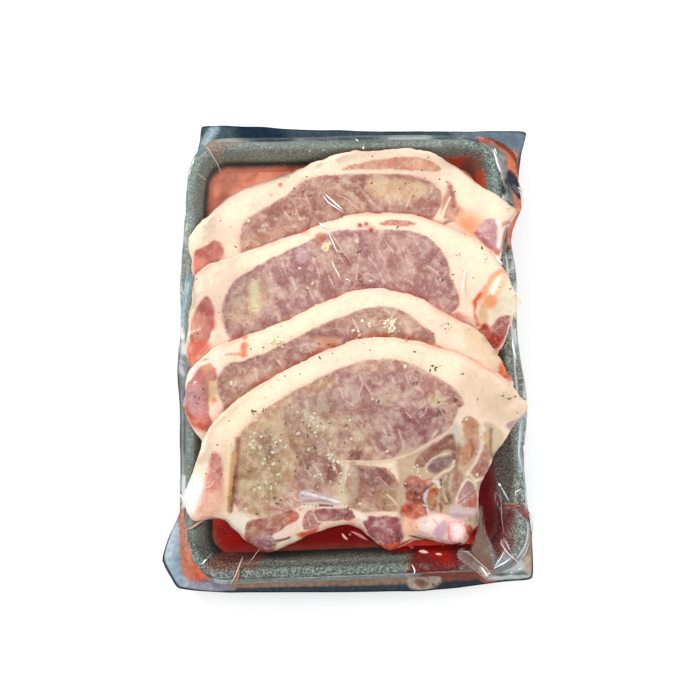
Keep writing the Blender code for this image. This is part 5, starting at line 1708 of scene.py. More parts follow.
def paint_film(canvas, reach, under, above):
    """Where the film isn't clear: its seal, trapped juice, glare and haze."""
    x, y = canvas.x, canvas.y
    everywhere = np.arange(len(x))
    hem = ramp(reach, 0.02, 0.16)
    patch = 0.4 * (lumps(x, y, 15, 41) + 0.5 * lumps(x, y, 5, 42))
    tone = canvas.colour.copy()
    shade = linear((54, 72, 78)) * (1 + patch[:, None])
    tone[:, :3] += (shade - tone[:, :3]) * hem[:, None]
    tone[:, 3] = hem * np.where(under, 0.85, 0.97)
    canvas.colour = tone
    canvas.eager = True
    # Just outside the rim the film is dull, as if the foam went right up to its edge.
    beyond = ramp(-inwards_from_rim(x, y), -0.8, 0.2) * above
    for name in CHOP_NAMES:
        over_food = inwards(chop_outline(name), x, y)
        beyond = beyond * (1 - ramp(over_food, -0.6, 0.4))
    canvas.lay(everywhere, beyond * (0.8 + 0.2 * lumps(x, y, 3, 46)), (112, 122, 119), 0.9, 0.0)
    for outline, colour, soft, lean in [
            # The far seal: a pale fold, deep blue, slate and a teal crease.
            ([(-62, 134), (-38, 132), (-30, 121), (-58, 122)], (26, 44, 62), 9, 0.97),
            ([(-30, 132), (20, 131), (20, 121), (-24, 122)], (62, 76, 88), 10, 0.97),
            ([(62, 131), (104, 131), (101, 112), (92, 116), (66, 121)], (104, 120, 134), 5, 0.95),
            ([(44, 130), (58, 130), (64, 121), (46, 122)], (58, 86, 92), 4, 0.97),
            ("-83.4,122 -80.4,127 -76,133 -72,133 -76,126 -80,120.4", (168, 188, 194), 2.4, 0.92),
            ([(-83.6, 121), (-79.6, 115.5), (-83, 111), (-86.4, 112.6)], (112, 136, 152), 1.8, 0.8),
            ([(-79.6, 119.4), (-68, 119.6), (-62, 120), (-72, 116), (-75, 112)], (170, 148, 130), 2,
             0.45),
            # The near left flap, its pale steel blue a painted glare, and juice caught beside the tray.
            ([(-110, -128), (-100, -92), (-91, -84), (-91, -112), (-88, -130)],
             (186, 203, 212), 3, 0.8),
            ([(-104, -126), (-100, -112), (-94, -100), (-91, -100), (-91, -124), (-84, -132)],
             (142, 166, 180), 6, 0.9),
            ([(-88, -121), (-70, -121.5), (-66, -127), (-90, -126)], (150, 146, 160), 2, 0.92),
            ([(-95, -84), (-89.6, -83), (-88.8, -93), (-87.5, -101), (-85, -109.5),
              (-79.5, -116.5), (-77, -118.8), (-84, -119.5), (-91, -120), (-94, -112),
              (-95, -95)], (196, 124, 98), 1.2, 0.9),
            ([(-86, -109), (-80, -116), (-77.5, -118.6), (-86, -119)], (214, 98, 66), 2, 0.95),
            # The near seal: a brown strip, then deep blue; gathered and frothy at the right.
            ("-66,-120.3 -20,-120.8 26,-121 26,-125.4 -20,-125.4 -64,-124.8", (160, 132, 112), 1,
             0.88),
            ("-66,-125.4 20,-126.2 34,-127 34,-134 -66,-132", (54, 68, 78), 1, 0.97),
            ("28,-120.5 40,-120 72,-120.5 72,-124.4 50,-125 28,-124", (140, 78, 62), 1.2, 0.86),
            ("27,-122 35,-121.4 44,-122.4 43.6,-126 35,-129.6 26.6,-127.6", (190, 176, 162), 1.6,
             0.92),
            ("30,-124.6 35,-124 38,-127 33,-128", (132, 96, 74), 2, 0.9),
            ("45,-126 66,-125.8 66,-129 45,-129", (52, 58, 64), 1, 0.95),
            ("33,-118.8 44,-118.6 62,-118.8 67,-122 33,-122", (118, 50, 42), 1, 0.78),
            ("64,-121 71,-120.4 74,-126.6 72,-128.4 66,-126", (158, 84, 70), 1.2, 0.92),
            # Juice caught at the far right, round a dark gap.
            ("75.3,120.6 81.2,120.2 89.8,117.6 99.6,114.6 99.8,110 99.4,100 98.6,84 96.4,78 92,72"
             " 90.6,78 90.4,88.6 91.6,96 90.4,101 91.4,106 91.6,111.6 87,114 81.5,116.5"
             " 75.7,117.4", (204, 128, 100), 1.4, 0.8),
            ("75.6,119 82,117.8 81.4,115.3 75.8,116", (190, 100, 72), 1.6, 0.9),
            ("93,111 98.4,110 98.6,100 94.6,98 92,102", (206, 120, 88), 4, 0.9),
            ("90.2,98 93,99.4 95.4,96 96.6,90 96.4,81.4 94,79.6 91.2,84 89.4,90", (38, 42, 54), 1,
             0.94),
            ("92.6,90 95,88 95,83 92.4,85", (92, 92, 100), 1.4, 0.8),
            ("95,73 92,71.6 88.4,66 86.6,61 86,53 91,53 92,61 95.4,69", (192, 104, 80), 1, 0.92),
            # Near right: a gathered fold, a pale pocket and caught juice.
            ("52.3,-108.6 57.2,-108.8 62,-113.6 66.6,-117.7 71.8,-125.7 67.8,-124.8"
             " 64.7,-121.6 59.2,-116.6 53.5,-112.6", (150, 144, 132), 1.2, 0.6),
            ("54,-109.6 57,-110 60,-113 58,-114 55,-112", (120, 112, 100), 1.5, 0.6),
            ("63,-116.5 65.4,-117.8 69.6,-123 67,-123.6", (200, 196, 186), 1, 0.7),
            ("70.7,-117.3 76.8,-108.2 80.6,-112.6 74,-116.2", (176, 184, 188), 1.6, 0.5),
            ("76,-103.6 77.4,-104 79.6,-109.6 77.6,-109", (96, 32, 34), 0.9, 0.85),
            ("74.6,-79 78.6,-88.6 77.2,-89.4 74,-82", (86, 44, 46), 1, 0.6),
            ("78.6,-85 85,-85.6 92,-93 91.4,-95.4 84,-88 79,-87", (128, 58, 46), 0.9, 0.7),
            ("72,-118.4 80,-114.6 86,-114.6 91,-116 92,-121.4 72,-122", (150, 156, 156), 3, 0.35),
            ("91.6,-101 95.6,-101 95.6,-124.6 92,-124 90.6,-117", (150, 140, 128), 1.2, 0.85),
            ("89.6,-114 92.6,-113.6 93,-122 90.6,-122", (196, 172, 146), 1.4, 0.75),
            ("72,-123.6 94,-124 94,-125.4 72,-125.6", (204, 208, 206), 0.8, 0.8),
            ("66,-86 66.6,-91 67.2,-97.5 69,-104 70.2,-110.3 70,-115.8 68.6,-118.2 64.7,-114.9"
             " 61,-111.5 60,-106.7 62.4,-103 63.2,-100.5 64.4,-97.4 64.6,-91", (132, 116, 100), 1.4,
             0.62),
            ([(-93.4, 66), (-91.2, 69), (-86.5, 58), (-88.5, 58)], (192, 198, 190), 1, 0.55),
            # Blue, white and pale streaks down the left side: painted reflections on the film.
            ("-83.2,38 -84.4,31 -86.2,25 -88.6,18.6 -90.6,12 -91.6,12.6 -90,20 -88,28 -85.2,38.4",
             (112, 146, 158), 1.2, 0.8),
            ("-84.6,36 -85.8,30 -88,22.4 -90.4,14 -89.6,20 -88,27 -86,34", (196, 214, 214), 1,
             0.7),
            ("-89.4,26 -91,14.9 -92,24 -91.6,30", (176, 206, 216), 1, 0.7),
            ("-92.1,14.9 -90.7,14.9 -89,10.5 -88.2,6.6 -89.6,5.6 -91.7,10.5", (214, 220, 214), 0.9,
             0.85),
            ("-93.6,66 -92.4,66 -92,47 -93.4,46", (92, 140, 156), 0.8, 0.9),
            # A pale blue streak at the right: painted reflection.
            ([(85.4, -40), (87, -40), (87.6, -60), (89.5, -68), (87, -68), (85.6, -58)],
             (196, 214, 222), 1.5, 0.5)]:
        canvas.fill(outline, colour, soft=soft, lean=lean, wobble=0.3)
    for points, width, colour, lean in [
            ([(90.8, -42), (91, -60), (91.5, -66)], 1.3, (158, 92, 78), 0.7),
            ([(-92, 8), (-91, -20), (-91, -60), (-93, -74)], 1.0, (64, 66, 66), 0.75),
            # Blue and near-black streaks at the left edge: part of the painted reflection there.
            ("-93.4,46 -93,30 -92.4,18", 1.0, (60, 84, 108), 0.8),
            ("-91.3,44.7 -91,34.7 -90.9,23.7", 0.8, (24, 28, 34), 0.85),
            ([(90, 46), (90.4, 30), (90.4, 0), (90.4, -30)], 1.0, (84, 84, 76), 0.6),
            ([(88.6, 94), (88.4, 84)], 0.8, (58, 26, 22), 0.8)]:
        canvas.line(points, width, colour, lean=lean)
    for spot, size in [((31, -124), 1.0), ((34, -126), 1.1), ((37, -123.5), 0.9),
                       ((40, -127), 1.1), ((45, -124), 1.2), ((49, -125), 0.9)]:
        canvas.blot(*spot, size, (150, 70, 52), lean=0.9)
    # The upright walls of the bag are mostly clear, but for its near end.
    upright = np.where(under | above, 0.0, 1.0) * (1 - ramp(reach, 0.0, 0.04))
    canvas.colour[:, 3] *= 1 - 0.85 * upright * ramp(y, -116, -108)
    rim = ramp(reach, 0.9, 0.94) * np.where(under, 0.0, 1.0)
    rim = rim * (0.55 + 0.45 * (1 - ramp(canvas.y, -90, -60)))
    canvas.lay(everywhere, rim, (20, 27, 36), 1.0, 0.0)


def make_film(heap, bed, settings):
    """The whole bag as one skin: over the food, round the rim, out to the seal and back under."""
    along, half = film_rows()
    right = half + np.interp(along, *zip(*FILM_OVERHANG))
    share = np.linspace(0, 1, 186)[None]
    left = half + np.interp(along, *zip(*FILM_LEFT))
    x = right[:, None] * share - left[:, None] * (1 - share)
    y = np.repeat(along[:, None], share.shape[1], 1)
    rows, columns = x.shape
    x, y = x.ravel(), y.ravel()
    top = np.column_stack([x, y, film_relief(heap, bed, x, y)])
    index = np.arange(rows * columns).reshape(rows, columns)
    faces = np.stack([index[:-1, :-1], index[:-1, 1:], index[1:, 1:], index[1:, :-1]],
                     -1).reshape(-1, 4).tolist()
    loop = np.concatenate([index[0, :-1], index[:-1, -1], index[-1, :0:-1], index[:0:-1, 0]])
    edge = top[loop]
    count = len(loop)
    flat = edge[:, :2]
    over = np.maximum(np.abs(flat) - [FILM_HALF_WIDTH - FILM_CORNER_RADIUS,
                                      FILM_HALF_LENGTH - FILM_CORNER_RADIUS], 0)
    out = np.sign(flat) * over / np.linalg.norm(over, axis=1)[:, None]
    seal = seal_edge(flat + out)
    rings, reaches, below = [], [], []

    def ring(points, height, reach=0.0, under=False):
        rings.append(np.column_stack([points, np.broadcast_to(height, count)]))
        reaches.append(np.full(count, reach))
        below.append(np.full(count, under))

    ripple = lumps(flat[:, 0], flat[:, 1], 5.0, 44)
    for push, height in [(0.12, None), (0.22, 23.5), (0.3, 21.0), (0.25, 18.5), (0.3, 16.4),
                         (0.45, 15.0), (0.6, 14.5)]:
        level = edge[:, 2] - 0.5 if height is None else height
        ring(flat + out * (push + 0.12 * ripple[:, None]), level)
    base = flat + out * 0.6
    wave = lumps(seal[:, 0], seal[:, 1], 11.0, 45)
    for share in (0.05, 0.15, 0.27, 0.4, 0.52, 0.65, 0.78, 0.88, 0.93, 1.0):
        level = SEAL_HEIGHT + 0.25 + 0.7 * share * wave
        ring(base + (seal - base) * share, level, share)
    for share in (1.0, 0.9, 0.7, 0.5, 0.3, 0.12):
        level = SEAL_HEIGHT + 0.7 * share * wave
        ring(base + (seal - base) * share, level, share, True)
    for inset, height in [(0.2, 13.9), (3.0, 13.4), (6.4, 13.0), (7.8, 10.5), (9.4, 7.0),
                          (11.0, 3.4), (12.2, 1.2), (13.6, 0.25), (15.5, 0.08)]:
        points = flat - out * inset
        ring(points + 0.2 * out * ripple[:, None] * (height > 1), height, 0.0, True)
    last = rings[-1][:, :2]
    for share in (0.86, 0.66, 0.46, 0.28, 0.12):
        ring(last * share, 0.08, 0.0, True)
    points = np.vstack([top, *rings])
    first = index.size
    k = np.arange(count)
    after = (k + 1) % count
    faces += np.stack([loop[k], first + k, first + after, loop[after]], 1).tolist()
    faces += ring_faces(len(rings), count, first)
    faces += fan(len(points), len(points) - count, count, False)
    points = np.vstack([points, [(0, 0, 0.08)]])
    reach = np.concatenate([np.zeros(len(top)), *reaches, [0.0]])
    under = np.concatenate([np.zeros(len(top), bool), *below, [True]])
    canvas = Canvas(points[:, 0], points[:, 1], (255, 255, 255))
    paint_film(canvas, reach, under, np.arange(len(points)) < len(top))
    film = make_piece("film_bag", points, faces, film_material(settings), canvas.colour)
    finish_piece(film, "film", "film")


WHITE, PALE, ASH = (255, 255, 255), (244, 220, 208), (196, 190, 182)
RUST = (172, 92, 68)
FOLDS_AND_PAINTED_GLINTS = [
    # Thin folds of the film, glints painted as white and pale strands, and a dark strand of painted
    # shadow: the line, how thick, its colour and how solid. Lines with two numbers a point lie on the
    # film, the others where their third number says.
    ([(-14.2, 88), (-12.2, 84.4), (-9.6, 81.2), (-6.2, 78.4), (-2.6, 75.6)], 0.32, WHITE, 0.95),
    ([(-12.6, 88), (-9.6, 84.6), (-6.6, 81), (-3.4, 77.4)], 0.5, WHITE, 0.95),
    ([(-16.5, 70.3), (-14, 68.4), (-11.6, 66.6)], 0.7, WHITE, 0.85),
    ([(-12.2, 66.2), (-9.6, 59.4), (-7.6, 54.3), (-6.5, 52.1)], 0.34, WHITE, 0.95),
    ([(-6.6, 52.4), (-4.8, 49), (-2.9, 45.8)], 0.16, PALE, 0.8),
    ([(-11.4, 66.6), (-7.2, 58.6), (-3.8, 53.1), (-0.6, 48.6), (1.5, 45.2)], 0.2, PALE, 0.9),
    ([(1.5, 45.2), (5.1, 40.1), (8.8, 35.6)], 0.14, (232, 180, 158), 0.8),
    ([(-7.2, 54), (-5, 52.6), (-3.6, 53)], 0.5, PALE, 0.5),
    ([(-10, 48.5), (-8.4, 43.8), (-6.9, 40.6), (-5.8, 37.6)], 0.34, WHITE, 0.95),
    ([(-9.6, 46), (-7.6, 42)], 0.5, PALE, 0.6),
    ([(6.7, 38), (7.2, 39.6), (8.6, 40), (11.1, 38.9), (13.7, 36.4)], 0.16, PALE, 0.9),
    ([(13.7, 36.4), (11.5, 34.4), (9.3, 35), (6.8, 37.8)], 0.18, PALE, 0.8),
    ([(9.6, 35.8), (10.8, 35.2)], 0.4, WHITE, 0.95),
    ([(-3.6, 36.9), (-1.6, 36.2), (-0.6, 34.8)], 0.28, WHITE, 0.9),
    ([(-7.7, 89.5), (-4.5, 86), (-0.2, 83.7), (1.9, 80.2), (4.6, 77.9), (6.8, 76.7)], 0.2,
     PALE, 0.7),
    ([(6.8, 76.9), (8, 79.5)], 0.16, PALE, 0.7),
    ([(76.6, 46.4), (78.4, 43.6), (80.4, 41)], 0.45, WHITE, 0.95),
    ([(61, 40.5), (60, 35), (58.8, 26)], 0.4, WHITE, 0.75),
    ("82.5,111 84,106 84.9,101.4 85.8,97.8", 0.6, WHITE, 0.95),
    ("83.4,112.4 84.6,108.4", 0.4, WHITE, 0.9),
    ("84,107 85.4,103.5 86.6,99", 0.3, (206, 140, 126), 0.8),
    ("94.6,88.6 96.6,85.2", 0.3, WHITE, 0.9),
    ("94.4,85.6 96.2,82.6", 0.26, WHITE, 0.8),
    ("89.8,95.3 88.9,90.7 88.5,85.4", 0.4, (34, 22, 22), 0.9),
    ("95.6,98 96.4,88 95.6,76", 0.3, (226, 160, 140), 0.7),
    # Pale, blue and dark strands down the left side: a painted reflection on the film.
    ("-91.6,44.7 -91.4,37.5 -91.2,29.2 -91.2,18.2", 0.26, WHITE, 0.9),
    ("-92.4,60 -92.2,50 -91.9,40", 0.2, (214, 232, 238), 0.8),
    ("-85,48 -86.2,36 -88.6,26 -90.2,17", 0.24, (160, 196, 208), 0.8),
    ("-91.8,17.4 -91,15.6 -90.2,16.6", 0.42, WHITE, 0.95),
    ("-91.3,6 -91,-4 -90.7,-24", 0.16, (40, 44, 44), 0.8),
    ([(-81.1, 120.4, 20), (-77.3, 114.6, 25.8), (-74, 109, 24.5), (-72.3, 106.4, 21),
      (-71, 102, 14)], 0.3, (222, 208, 192), 0.85),
    ([(-86.7, 101.9), (-81.7, 98.9), (-77.9, 96.5)], 0.22, ASH, 0.7),
    ([(5, 117.6), (6.4, 114.8)], 0.4, (236, 240, 240), 0.8),
    ([(8.4, 111.6), (9.2, 110)], 0.6, WHITE, 0.8),
    ([(-89.6, -92.6, 25.9), (-86, -91.2, 26.6), (-82.4, -88.8, 26.6), (-79.6, -87.8, 25)], 0.5,
     (238, 178, 150), 0.95),
    # A dark strand: painted shadow under the top chop's left corner.
    ([(-86.4, -92.6), (-82.6, -90.4), (-79, -88.8), (-76, -89)], 0.42, (44, 20, 18), 0.9),
    ([(-66.9, -121), (-63.7, -116.1), (-61.6, -110.2), (-60.1, -107.2)], 0.36, (222, 204, 184),
     0.85),
    ([(-64.6, -120.6), (-62.4, -116.6), (-62, -113.4)], 0.7, (184, 118, 80), 0.7),
    ([(-51, -103), (-55, -108), (-58, -111)], 0.16, ASH, 0.7),
    ([(-81.2, -110), (-78.6, -107.4)], 0.45, WHITE, 0.95),
    ([(-78.6, -107.6), (-76, -104.6)], 0.14, ASH, 0.8),
    ("76,-76 76.6,-83 76.8,-93 77.2,-101", 0.2, (208, 158, 166), 0.7),
    ("75.9,-103.1 75,-105.1 78.4,-110.3 83.8,-115.2", 0.3, (246, 226, 226), 0.9),
    ("76.4,-103.4 77.6,-104.4 79.6,-109.4", 0.22, (240, 214, 214), 0.85),
    ("70.6,-117.6 75.4,-115 79.9,-112.3", 0.34, WHITE, 0.95),
    ("76.8,-108 73.8,-112.6 70.6,-117.4", 0.26, WHITE, 0.85),
    ("76.9,-107.9 78.6,-110.2 80.7,-112.7", 0.24, (220, 226, 230), 0.8),
    ("74.5,-78.1 76,-83 78,-88", 0.3, (120, 60, 58), 0.8),
    ("83.4,-81.1 84.4,-78.5 87.7,-77", 0.28, WHITE, 0.9),
    ("83.4,-81.1 84,-83.4 86,-85", 0.2, (226, 214, 206), 0.8),
    ("85,-81.9 88.8,-86.8 92.7,-92.4", 0.26, (170, 84, 62), 0.9),
    ("82.7,-79.4 87.1,-86.8 92.1,-93.3", 0.26, (130, 58, 46), 0.9),
    ("79,-85.8 84.5,-87 89.6,-91.2 92,-94.6", 0.24, RUST, 0.85),
    ("92.4,-94 91.5,-102.7 89.2,-109.1 85.1,-114.4", 0.3, RUST, 0.9),
    ("90.4,-104 88,-109.6 84.6,-114", 0.2, (238, 230, 220), 0.8),
    ("79.4,-120.6 81.1,-120.2", 0.4, WHITE, 0.9),
    ("83.6,-118.9 86.1,-118.4", 0.3, WHITE, 0.85),
    ("52.3,-108.4 57.2,-108.6 62,-113.4 66.6,-117.5 71.6,-125", 0.22, (222, 200, 184), 0.8),
    ("52.6,-110 55,-113.6 59.2,-116.8 64.7,-121.8 68,-125", 0.22, (196, 130, 100), 0.8),
    ("60,-109.8 64,-113.4 68,-117.6 71.4,-122", 0.24, RUST, 0.8),
    ("63.4,-116 65,-118.6 67.2,-121.8", 0.5, (250, 252, 250), 0.95),
    ("66,-121.6 68.4,-119.6", 0.3, (240, 240, 236), 0.85),
    ([(75.4, -74), (76.8, -75.4)], 0.7, WHITE, 0.95),
    ([(76.6, -75.4), (78.6, -79.2), (80.4, -83.3)], 0.6, (188, 198, 198), 0.65),
    ([(85.6, -44), (86, -54), (86.4, -60), (88.6, -66.5)], 0.5, (214, 230, 236), 0.7),
    ([(89, -54), (89.4, -57.6)], 0.55, WHITE, 0.85),
    ([(84.6, 2), (84.8, -3), (85.6, -9)], 0.6, (248, 252, 252), 0.85),
    ([(-91, -73), (-89.6, -75.4), (-87.6, -77.4)], 0.42, WHITE, 0.95),
    ([(-88.4, -72.6), (-86.4, -70.6)], 0.3, WHITE, 0.8),
    ([(-79, -68.5), (-77.5, -71), (-75, -70), (-73, -66.5)], 0.18, (252, 236, 226), 0.8),
    ([(-82.6, -17.6), (-80.8, -16.6)], 0.3, WHITE, 0.9),
    ([(27.6, -114), (28.8, -117), (28.4, -119)], 0.4, WHITE, 0.85),
    ("31.6,-107.8 34,-108 36.6,-108.6", 0.95, (226, 176, 170), 0.9),
    ("40.2,-109.3 42,-109.5 43.8,-109.8", 0.7, (222, 168, 160), 0.9),
    ("-8.4,-97.6 -7,-99.6 -5.4,-101", 0.7, (236, 168, 160), 0.85),
    ("-3.6,-96.6 0,-98.4 5,-101.4", 0.8, (206, 128, 118), 0.6),
]


def folds_and_glints_tree():
    """Round strands that follow lines."""
    tree = bpy.data.node_groups.new("film_folds_and_painted_glints", "GeometryNodeTree")
    face = tree.interface
    face.new_socket("Geometry", in_out="INPUT", socket_type="NodeSocketGeometry")
    for name, kind in [("Spacing", "Float"), ("Sides", "Int"), ("Material", "Material")]:
        face.new_socket(name, in_out="INPUT", socket_type="NodeSocket" + kind)
    face.new_socket("Geometry", in_out="OUTPUT", socket_type="NodeSocketGeometry")
    given = tree.nodes.new("NodeGroupInput").outputs
    line = add(tree, "GeometryNodeMeshToCurve", {"Mesh": given["Geometry"]}).outputs[0]
    girth = add(tree, "GeometryNodeInputNamedAttribute", {"Name": "girth"},
                data_type="FLOAT").outputs[0]
    line = add(tree, "GeometryNodeSetCurveRadius", {"Curve": line, "Radius": girth}).outputs[0]
    line = add(tree, "GeometryNodeResampleCurve",
               {"Curve": line, "Length": given["Spacing"]}, mode="LENGTH").outputs[0]
    profile = add(tree, "GeometryNodeCurvePrimitiveCircle",
                  {"Resolution": given["Sides"], "Radius": 1.0}).outputs[0]
    radius = add(tree, "GeometryNodeInputRadius").outputs[0]
    swept = add(tree, "GeometryNodeCurveToMesh",
                {"Curve": line, "Profile Curve": profile, "Fill Caps": True,
                 "Scale": radius}).outputs[0]
    smooth = add(tree, "GeometryNodeSetShadeSmooth", {"Geometry": swept}).outputs[0]
    dressed = add(tree, "GeometryNodeSetMaterial",
                  {"Geometry": smooth, "Material": given["Material"]})
    output = tree.nodes.new("NodeGroupOutput")
    tree.links.new(dressed.outputs[0], output.inputs[0])
    return tree


def strand_material(settings):
    """Gathered film, and glints painted as white and pale strands: glossy, in the painted colour, and
    partly see-through.
    """
    material, tree, shader, _ = blank_material("gathered_film_and_painted_glints")
    paint = add(tree, "ShaderNodeAttribute", attribute_name="Paint")
    tree.links.new(paint.outputs["Color"], shader.inputs["Base Color"])
    shader.inputs["Roughness"].default_value = settings.film_roughness
    clear = add(tree, "ShaderNodeBsdfTransparent").outputs[0]
    both = add(tree, "ShaderNodeMixShader", {0: paint.outputs["Alpha"], 1: clear,
                                             2: shader.outputs[0]})
    tree.links.new(both.outputs[0], tree.nodes["Material Output"].inputs["Surface"])
    return material


def make_folds_and_painted_glints(heap, bed, settings):
    points, edges, girths, colours = [], [], [], []
    for controls, thickness, colour, cover in FOLDS_AND_PAINTED_GLINTS:
        line = evenly(path(controls), 16)
        line[:, 0] += 0.12 * lumps(line[:, 0], line[:, 1], 2.5, 91)
        if line.shape[1] == 2:
            height = film_relief(heap, bed, line[:, 0], line[:, 1])
            line = np.column_stack([line, height + 0.1])
        taper = np.sin(np.linspace(0.1, math.pi - 0.1, len(line))) ** 0.8
        start = len(points)
        points.extend(line * MM)
        girths.extend(thickness * taper * MM)
        colours.extend([*linear(colour), cover] * len(line))
        edges.extend((start + k, start + k + 1) for k in range(len(line) - 1))
    mesh = bpy.data.meshes.new("strand_lines")
    mesh.from_pydata([tuple(p) for p in points], edges, [])
    mesh.attributes.new("girth", "FLOAT", "POINT").data.foreach_set("value", girths)
    paint = mesh.attributes.new("Paint", "FLOAT_COLOR", "POINT")
    paint.data.foreach_set("color", colours)
    base = bpy.data.objects.new("strand_lines", mesh)
    bpy.context.scene.collection.objects.link(base)
    folds = grown("film_folds_and_painted_glints", base, folds_and_glints_tree(), {
        "Spacing": 0.6 * MM, "Sides": 8, "Material": strand_material(settings)})
    finish_piece(folds, "film")


# --- Stage ---------------------------------------------------------------------------------

def make_stage(settings):
    mesh = bpy.data.meshes.new("floor")
    side = 3.0
    mesh.from_pydata([(-side, -side, 0), (side, -side, 0), (side, side, 0), (-side, side, 0)],
                     [], [(0, 1, 2, 3)])
    material, tree, shader, place = blank_material("pale_floor")
    faint = noise(tree, place, 60.0, 2.0)
    toned = mix(tree, faint, (0.90, 0.90, 0.90, 1.0), (0.92, 0.92, 0.92, 1.0))
    tree.links.new(toned, shader.inputs["Base Color"])
    shader.inputs["Emission Color"].default_value = (1.0, 1.0, 1.0, 1.0)
    shader.inputs["Emission Strength"].default_value = 0.15
    shader.inputs["Roughness"].default_value = 0.9
    mesh.materials.append(material)
    floor = bpy.data.objects.new("floor", mesh)
    bpy.context.scene.collection.objects.link(floor)

    world = bpy.data.worlds.new("studio")
    world.use_nodes = True
    sky = world.node_tree.nodes["Background"]
    sky.inputs["Color"].default_value = (0.97, 0.985, 1.0, 1.0)
    sky.inputs["Strength"].default_value = settings.fill_light
    bpy.context.scene.world = world
    for name, place, size, power in [("key", (-0.58, 0.52, 0.62), 0.16, settings.key_power),
                                     ("side", (0.75, 0.15, 0.75), 0.7, 2.5),
                                     ("front", (0.1, -0.9, 0.7), 0.7, 2.5)]:
        light = bpy.data.lights.new(name, "AREA")
        light.size = size
        light.energy = power
        lamp = bpy.data.objects.new(name, light)
        lamp.location = place
        aim = np.array([0, 0, 0.03]) - np.array(place)
        flat = math.hypot(aim[0], aim[1])
        lamp.rotation_euler = (math.atan2(flat, -aim[2]), 0, math.atan2(-aim[0], aim[1]))
        bpy.context.scene.collection.objects.link(lamp)

    view = bpy.data.cameras.new("camera")
    view.sensor_width = 36.0
    view.lens = 35.67
    view.clip_start = 0.01
    camera = bpy.data.objects.new("camera", view)
    camera.location = (-0.01642, -0.04773, 0.3968)
    camera.rotation_euler = [math.radians(turn) for turn in (7.294, -2.096, -1.684)]
    bpy.context.scene.collection.objects.link(camera)
    bpy.context.scene.camera = camera
    bpy.context.scene.view_settings.view_transform = "Standard"


# --- Add-on --------------------------------------------------------------------------------

def colour_setting(name, description, default):
    return bpy.props.FloatVectorProperty(name=name, description=description, subtype="COLOR",
                                         size=3, min=0.0, max=1.0, default=default)


class MeatTraySettings(bpy.types.PropertyGroup):
    foam_colour: colour_setting("Foam", "Colour of the foam tray", chosen((122, 128, 120)))
    foam_tone: colour_setting("Foam tone", "Multiplies the foam's painted colour", (1, 1, 1))
    meat_tone: colour_setting("Meat tone", "Multiplies the pork's painted colour", (1, 1, 1))
    juice_colour: colour_setting("Juice", "Colour of the juice", chosen((196, 16, 10)))
    juice_tone: colour_setting("Juice tone", "Multiplies the juice's colour", (1, 1, 1))
    garlic_colour: colour_setting("Garlic", "Colour of the garlic crumbs",
                                  chosen((244, 240, 222)))
    herb_colour: colour_setting("Herbs", "Colour of the dried herbs", chosen((116, 124, 34)))
    garlic_crowding: bpy.props.FloatProperty(
        name="Garlic crowding", description="Garlic crumbs on a square millimetre of a heap",
        default=0.5, min=0.0)
    herb_crowding: bpy.props.FloatProperty(
        name="Herb crowding", description="Herb flakes on a square millimetre of a heap",
        default=0.3, min=0.0)
    pepper_crowding: bpy.props.FloatProperty(
        name="Pepper crowding", description="Pepper grains on a square millimetre of a heap",
        default=0.6, min=0.0)
    film_roughness: bpy.props.FloatProperty(
        name="Film roughness", description="How blurred the film's reflections are",
        default=0.09, min=0.0, max=1.0)
    key_power: bpy.props.FloatProperty(
        name="Key light", description="Power of the key light", default=5.0, min=0.0,
        unit="POWER")
    fill_light: bpy.props.FloatProperty(
        name="Fill light", description="Strength of the light from all round", default=0.82,
        min=0.0)


class SharedShapes:
    """The settled heap and the surface under the film, worked out once."""

    heap = None
    bed = None

    @classmethod
    def get(cls):
        if cls.heap is None:
            cls.heap = Heap()
            cls.bed = Bed(cls.heap)
            floor = widened(cls.bed.top) + 0.12
            cls.bed.film_floor = (floor + neighbours(floor)) / 5
        return cls.heap, cls.bed


class MEAT_OT_tray(bpy.types.Operator):
    """Makes the foam tray"""
    bl_idname = "meat_tray.tray"
    bl_label = "Foam tray"

    def execute(self, context):
        make_tray(context.scene.meat_tray)
        return {"FINISHED"}


class MEAT_OT_juice(bpy.types.Operator):
    """Makes the pool of juice in the tray"""
    bl_idname = "meat_tray.juice"
    bl_label = "Juice"

    def execute(self, context):
        make_juice(context.scene.meat_tray)
        return {"FINISHED"}


class MEAT_OT_chops(bpy.types.Operator):
    """Makes the four pork chops"""
    bl_idname = "meat_tray.chops"
    bl_label = "Pork chops"

    def execute(self, context):
        heap, _ = SharedShapes.get()
        material = pork_material(context.scene.meat_tray)
        for name in CHOP_NAMES:
            make_chop(heap, name, material)
        return {"FINISHED"}


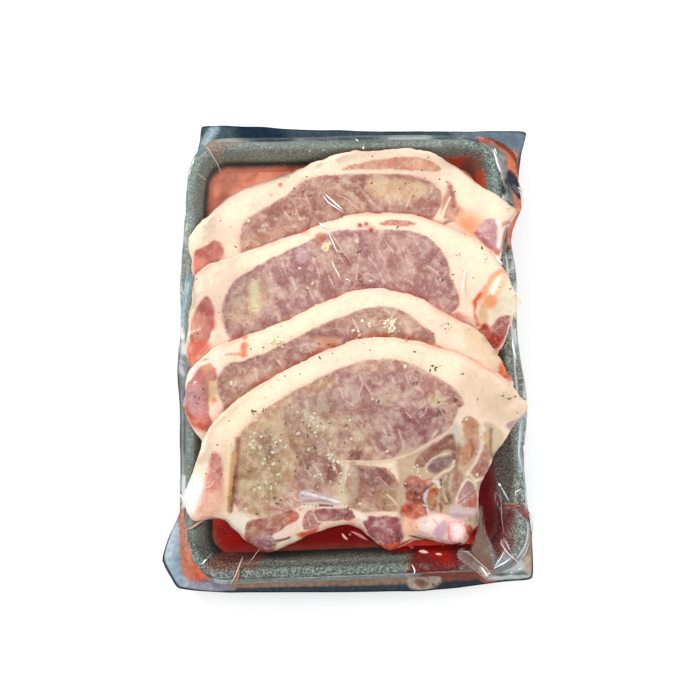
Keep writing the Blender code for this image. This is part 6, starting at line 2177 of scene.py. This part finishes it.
class MEAT_OT_seasoning(bpy.types.Operator):
    """Strews garlic, herbs and pepper over the chops"""
    bl_idname = "meat_tray.seasoning"
    bl_label = "Seasoning"

    def execute(self, context):
        _, bed = SharedShapes.get()
        make_seasoning(bed, context.scene.meat_tray)
        return {"FINISHED"}


class MEAT_OT_froth(bpy.types.Operator):
    """Makes the bubbles on the juice"""
    bl_idname = "meat_tray.froth"
    bl_label = "Froth"

    def execute(self, context):
        _, bed = SharedShapes.get()
        make_froth(bed, context.scene.meat_tray)
        return {"FINISHED"}


class MEAT_OT_film(bpy.types.Operator):
    """Makes the clear vacuum bag with its folds and painted glints"""
    bl_idname = "meat_tray.film"
    bl_label = "Film bag"

    def execute(self, context):
        heap, bed = SharedShapes.get()
        make_film(heap, bed, context.scene.meat_tray)
        make_folds_and_painted_glints(heap, bed, context.scene.meat_tray)
        return {"FINISHED"}


class MEAT_OT_stage(bpy.types.Operator):
    """Makes the floor, the lights and the camera"""
    bl_idname = "meat_tray.stage"
    bl_label = "Stage"

    def execute(self, context):
        make_stage(context.scene.meat_tray)
        return {"FINISHED"}


OPERATORS = [MEAT_OT_tray, MEAT_OT_juice, MEAT_OT_chops, MEAT_OT_seasoning, MEAT_OT_froth,
             MEAT_OT_film, MEAT_OT_stage]


class MEAT_PT_panel(bpy.types.Panel):
    """Sizes, colours and buttons of the pack"""
    bl_idname = "MEAT_PT_panel"
    bl_label = "Meat Tray Pack"
    bl_space_type = "VIEW_3D"
    bl_region_type = "UI"
    bl_category = "Meat Tray"

    def draw(self, context):
        for name in MeatTraySettings.__annotations__:
            self.layout.prop(context.scene.meat_tray, name)
        for operator in OPERATORS:
            self.layout.operator(operator.bl_idname)


CLASSES = [MeatTraySettings, *OPERATORS, MEAT_PT_panel]


def register():
    for kind in CLASSES:
        bpy.utils.register_class(kind)
    bpy.types.Scene.meat_tray = bpy.props.PointerProperty(type=MeatTraySettings)


def unregister():
    del bpy.types.Scene.meat_tray
    for kind in reversed(CLASSES):
        bpy.utils.unregister_class(kind)


def main():
    register()
    for operator in OPERATORS:
        group, name = operator.bl_idname.split(".")
        getattr(getattr(bpy.ops, group), name)()


if __name__ == "__main__":
    main()
